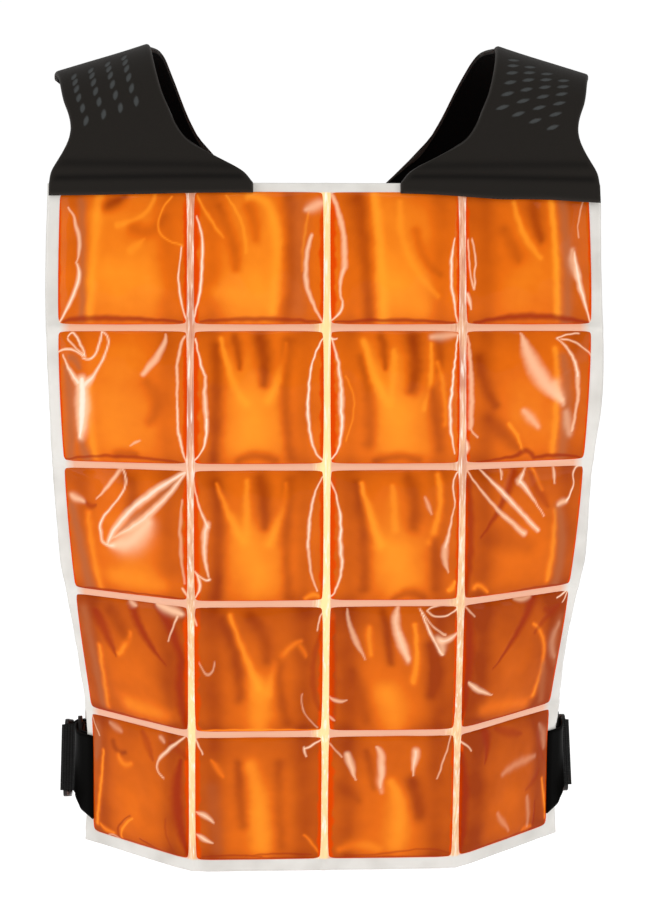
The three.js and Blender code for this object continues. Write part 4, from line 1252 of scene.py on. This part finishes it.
# The webbing's closed path in plan at a distance from its middle line: out, a turn, back, a turn.
def webbingRing(distance, bendSteps=40, turnSteps=14):
    turns = []
    for name in ("front", "back"):
        end = ends[name]
        turns.append((end["centre"][:2] - end["heading"][:2] * sliderBar / 2, end["heading"][:2]))
    leaving, arriving = (
        ends[name]["centre"][:2] + ends[name]["heading"][:2] * sliderLength / 2 for name in ("front", "back")
    )
    reach = np.linalg.norm(arriving - leaving) / 3
    t = np.linspace(0, 1, bendSteps + 1)
    line = bezier(leaving, leaving + turns[0][1] * reach, arriving + turns[1][1] * reach, arriving, t)
    tangent = unit(np.gradient(line, axis=0))
    off = np.stack([tangent[:, 1], -tangent[:, 0]], axis=-1) * distance

    def around(turn):
        centre, away = turn
        angle = math.atan2(away[1], away[0]) + math.pi / 2 + np.linspace(0, math.pi, turnSteps + 1)
        return np.stack([np.cos(angle), np.sin(angle)], axis=-1) * distance + centre

    return np.concatenate([line + off, around(turns[1]), (line - off)[::-1], around(turns[0])])


def webbingPlace(side):
    ring = webbingRing(loopGap + webbingThickness / 2)
    closed = np.concatenate([ring, ring[:1]])
    steps = np.concatenate([[0], np.cumsum(np.linalg.norm(np.diff(closed, axis=0), axis=1))])

    def place(a, b, face):
        at = a * steps[-1]
        x = np.interp(at, steps, closed[:, 0])
        y = np.interp(at, steps, closed[:, 1])
        z = (b - 0.5) * webbingWidth
        return inWorld(np.stack([x, y, z], axis=-1), side), {}

    return place, steps[-1]


def tabPath(panel, side, rise):
    end = ends[panel["name"]]
    heading, outward = end["heading"], end["outward"]
    bar = end["centre"] + heading * (sliderBar - sliderLength / 2)
    bar = bar + np.array([0, 0, rise * webbingWidth / 2])
    height = tabThickness / 2
    v = panel["strapLevel"] - rise * webbingWidth / 2
    path = []
    for sign in (1, -1):
        off = sign * (filmThickness / 2 + clearance + height)
        lower = tabTip * smoothstep(-rise, -0.6, 1)
        start = offPanel(panel, halfPanel - tabOverlap, v + lower, off)
        leaving = offPanel(panel, halfPanel + edgeWave, v + lower * tabTaper, off)
        stop = bar + outward * sign * (loopGap + height)
        before = inWorld(stop - heading * (sliderBar + clearance), 1)
        stop = inWorld(stop, 1)
        handle = np.linalg.norm(before - leaving) / 3
        along = unit(leaving - start)
        t = np.linspace(0, 1, 12)
        bend = bezier(leaving, leaving + along * handle, before - heading * handle, before, t)
        half = np.concatenate([[start, (start + leaving) / 2], bend, [stop]])
        path.append(half if sign > 0 else half[::-1])
    angle = np.linspace(math.pi / 2, -math.pi / 2, 11)[1:-1, None]
    turn = bar + (np.cos(angle) * heading + np.sin(angle) * outward) * (loopGap + height)
    points = np.concatenate([path[0], inWorld(turn, 1), path[1]])
    return points * np.array([side, 1, 1])


def tabPlace(panel, side, levels):
    paths = np.array([tabPath(panel, side, 2 * j / levels - 1) for j in range(levels + 1)])
    steps = paths.shape[1] - 1

    def place(a, b, face):
        i = np.round(a * steps).astype(int)
        j = np.round(b * levels).astype(int)
        return paths[j, i], {}

    return place, steps, np.linalg.norm(np.diff(paths[levels // 2], axis=0), axis=1).sum()


# A rounded copy of a slider's plain solid.
def roundedSlider(hand, name):
    node = f"{hand}_{name}_slider"
    work = bmesh.new()
    work.from_mesh(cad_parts[node].data)
    bmesh.ops.transform(work, matrix=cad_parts[node].matrix_world, verts=work.verts)
    bmesh.ops.remove_doubles(work, verts=work.verts, dist=0.00001)
    mesh = bpy.data.meshes.new(f"{hand}{name.title()}Slider")
    work.to_mesh(mesh)
    work.free()
    mesh.polygons.foreach_set("use_smooth", np.ones(len(mesh.polygons), bool))
    slider = bpy.data.objects.new(mesh.name, mesh)
    bpy.context.scene.collection.objects.link(slider)
    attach(slider, "root")
    rounding = addModifier(slider, "BEVEL", width=sliderRounding * mm, segments=4, limit_method="ANGLE")
    rounding.angle_limit = math.radians(30)
    dress(slider, "slider", node)


for hand, side in (("left", -1), ("right", 1)):
    place, length = webbingPlace(side)
    work = openGrid(150, 20)
    webbing = settle(work, f"{hand}Webbing", place, (length, webbingWidth))
    addModifier(webbing, "SOLIDIFY", thickness=webbingThickness * mm, offset=0)
    dress(webbing, "webbing", f"{hand}_webbing")
    length * mm
    for panel in (front, back):
        name = panel["name"]
        place, steps, length = tabPlace(panel, side, tabLevels)
        tab = settle(openGrid(steps, tabLevels), f"{hand}{name.title()}Tab", place, (length, webbingWidth))
        addModifier(tab, "SOLIDIFY", thickness=tabThickness * mm, offset=0)
        dress(tab, "tab", f"{hand}_{name}_tab")
        length * mm
        roundedSlider(hand, name)
print("stage: straps made")

# The floor, the lights and the camera.
stageForm = {"floorLevel": -0.8, "floorSize": 90, "farthest": 200}
work = bmesh.new()
bmesh.ops.create_grid(work, x_segments=1, y_segments=1, size=stageForm["floorSize"] / 2)
bmesh.ops.translate(work, verts=work.verts, vec=(0, 0, stageForm["floorLevel"]))
floorMesh = bpy.data.meshes.new("floor")
work.to_mesh(floorMesh)
work.free()
floor = bpy.data.objects.new("floor", floorMesh)
bpy.context.scene.collection.objects.link(floor)
floorMaterial = newMaterial("floorPaint", **{
    "Roughness": 0.9, "Base Color": (0.93, 0.93, 0.93, 1),
    "Emission Color": (1, 1, 1, 1), "Emission Strength": 0.35,
})[0]
floorMesh.materials.append(floorMaterial)

lights = [
    {"name": "keyLight", "spot": (-1.7, -1.5, 0.4), "aim": (0, 0, -0.3), "size": (0.7, 2.0), "power": 9.5},
    {"name": "fillLight", "spot": (1.7, -1.5, 0.3), "aim": (0, 0, -0.3), "size": (0.7, 2.0), "power": 7},
    {"name": "topLight", "spot": (0, -1.6, 2.0), "aim": (0, 0, -0.3), "size": (1.8, 0.9), "power": 8},
]
for lamp in lights:
    data = bpy.data.lights.new(lamp["name"], "AREA")
    data.shape = "RECTANGLE"
    data.size, data.size_y = lamp["size"]
    data.energy = lamp["power"]
    light = bpy.data.objects.new(lamp["name"], data)
    light.location = lamp["spot"]
    light.rotation_mode = "QUATERNION"
    light.rotation_quaternion = (Vector(lamp["aim"]) - Vector(lamp["spot"])).to_track_quat("-Z", "Y")
    bpy.context.scene.collection.objects.link(light)

world = bpy.data.worlds.new("studio")
bpy.context.scene.world = world
world.use_nodes = True
# The room is white behind the vest and dim in front of it, so that its film reflects the lights.
room = Wire(world.node_tree, None)
toBack = room.make("ShaderNodeSeparateXYZ", {0: room.make("ShaderNodeTexCoord", output=0)}, output=1)
brightness = ((toBack + 0.35) * 1.6).clamped() * 0.5 + 0.52
world.node_tree.links.new(
    brightness.socket, world.node_tree.nodes["Background"].inputs["Strength"]
)
world.node_tree.nodes["Background"].inputs["Color"].default_value = (1, 1, 1, 1)

# The photo's camera: level sight lines with the picture shifted down, seen from slightly left.
view = {
    "distance": 1.273, "height": -0.187, "yaw": -2.5, "lens": 70.1, "principalY": 310,
    "principalX": 322, "pictureWidth": 650, "pictureHeight": 920,
}
cameraData = bpy.data.cameras.new("camera")
camera = bpy.data.objects.new("camera", cameraData)
bpy.context.scene.collection.objects.link(camera)
cameraData.lens = view["lens"]
cameraData.clip_end = stageForm["farthest"]
yaw = math.radians(view["yaw"])
cameraData.shift_x = (view["pictureWidth"] / 2 - view["principalX"]) / view["pictureHeight"]
cameraData.shift_y = (view["principalY"] - view["pictureHeight"] / 2) / view["pictureHeight"]
camera.location = (view["distance"] * math.sin(yaw), -view["distance"] * math.cos(yaw), view["height"])
camera.rotation_euler = (math.pi / 2, 0, yaw)
bpy.context.scene.camera = camera
bpy.context.scene.view_settings.view_transform = "Standard"
print("stage: stage set")
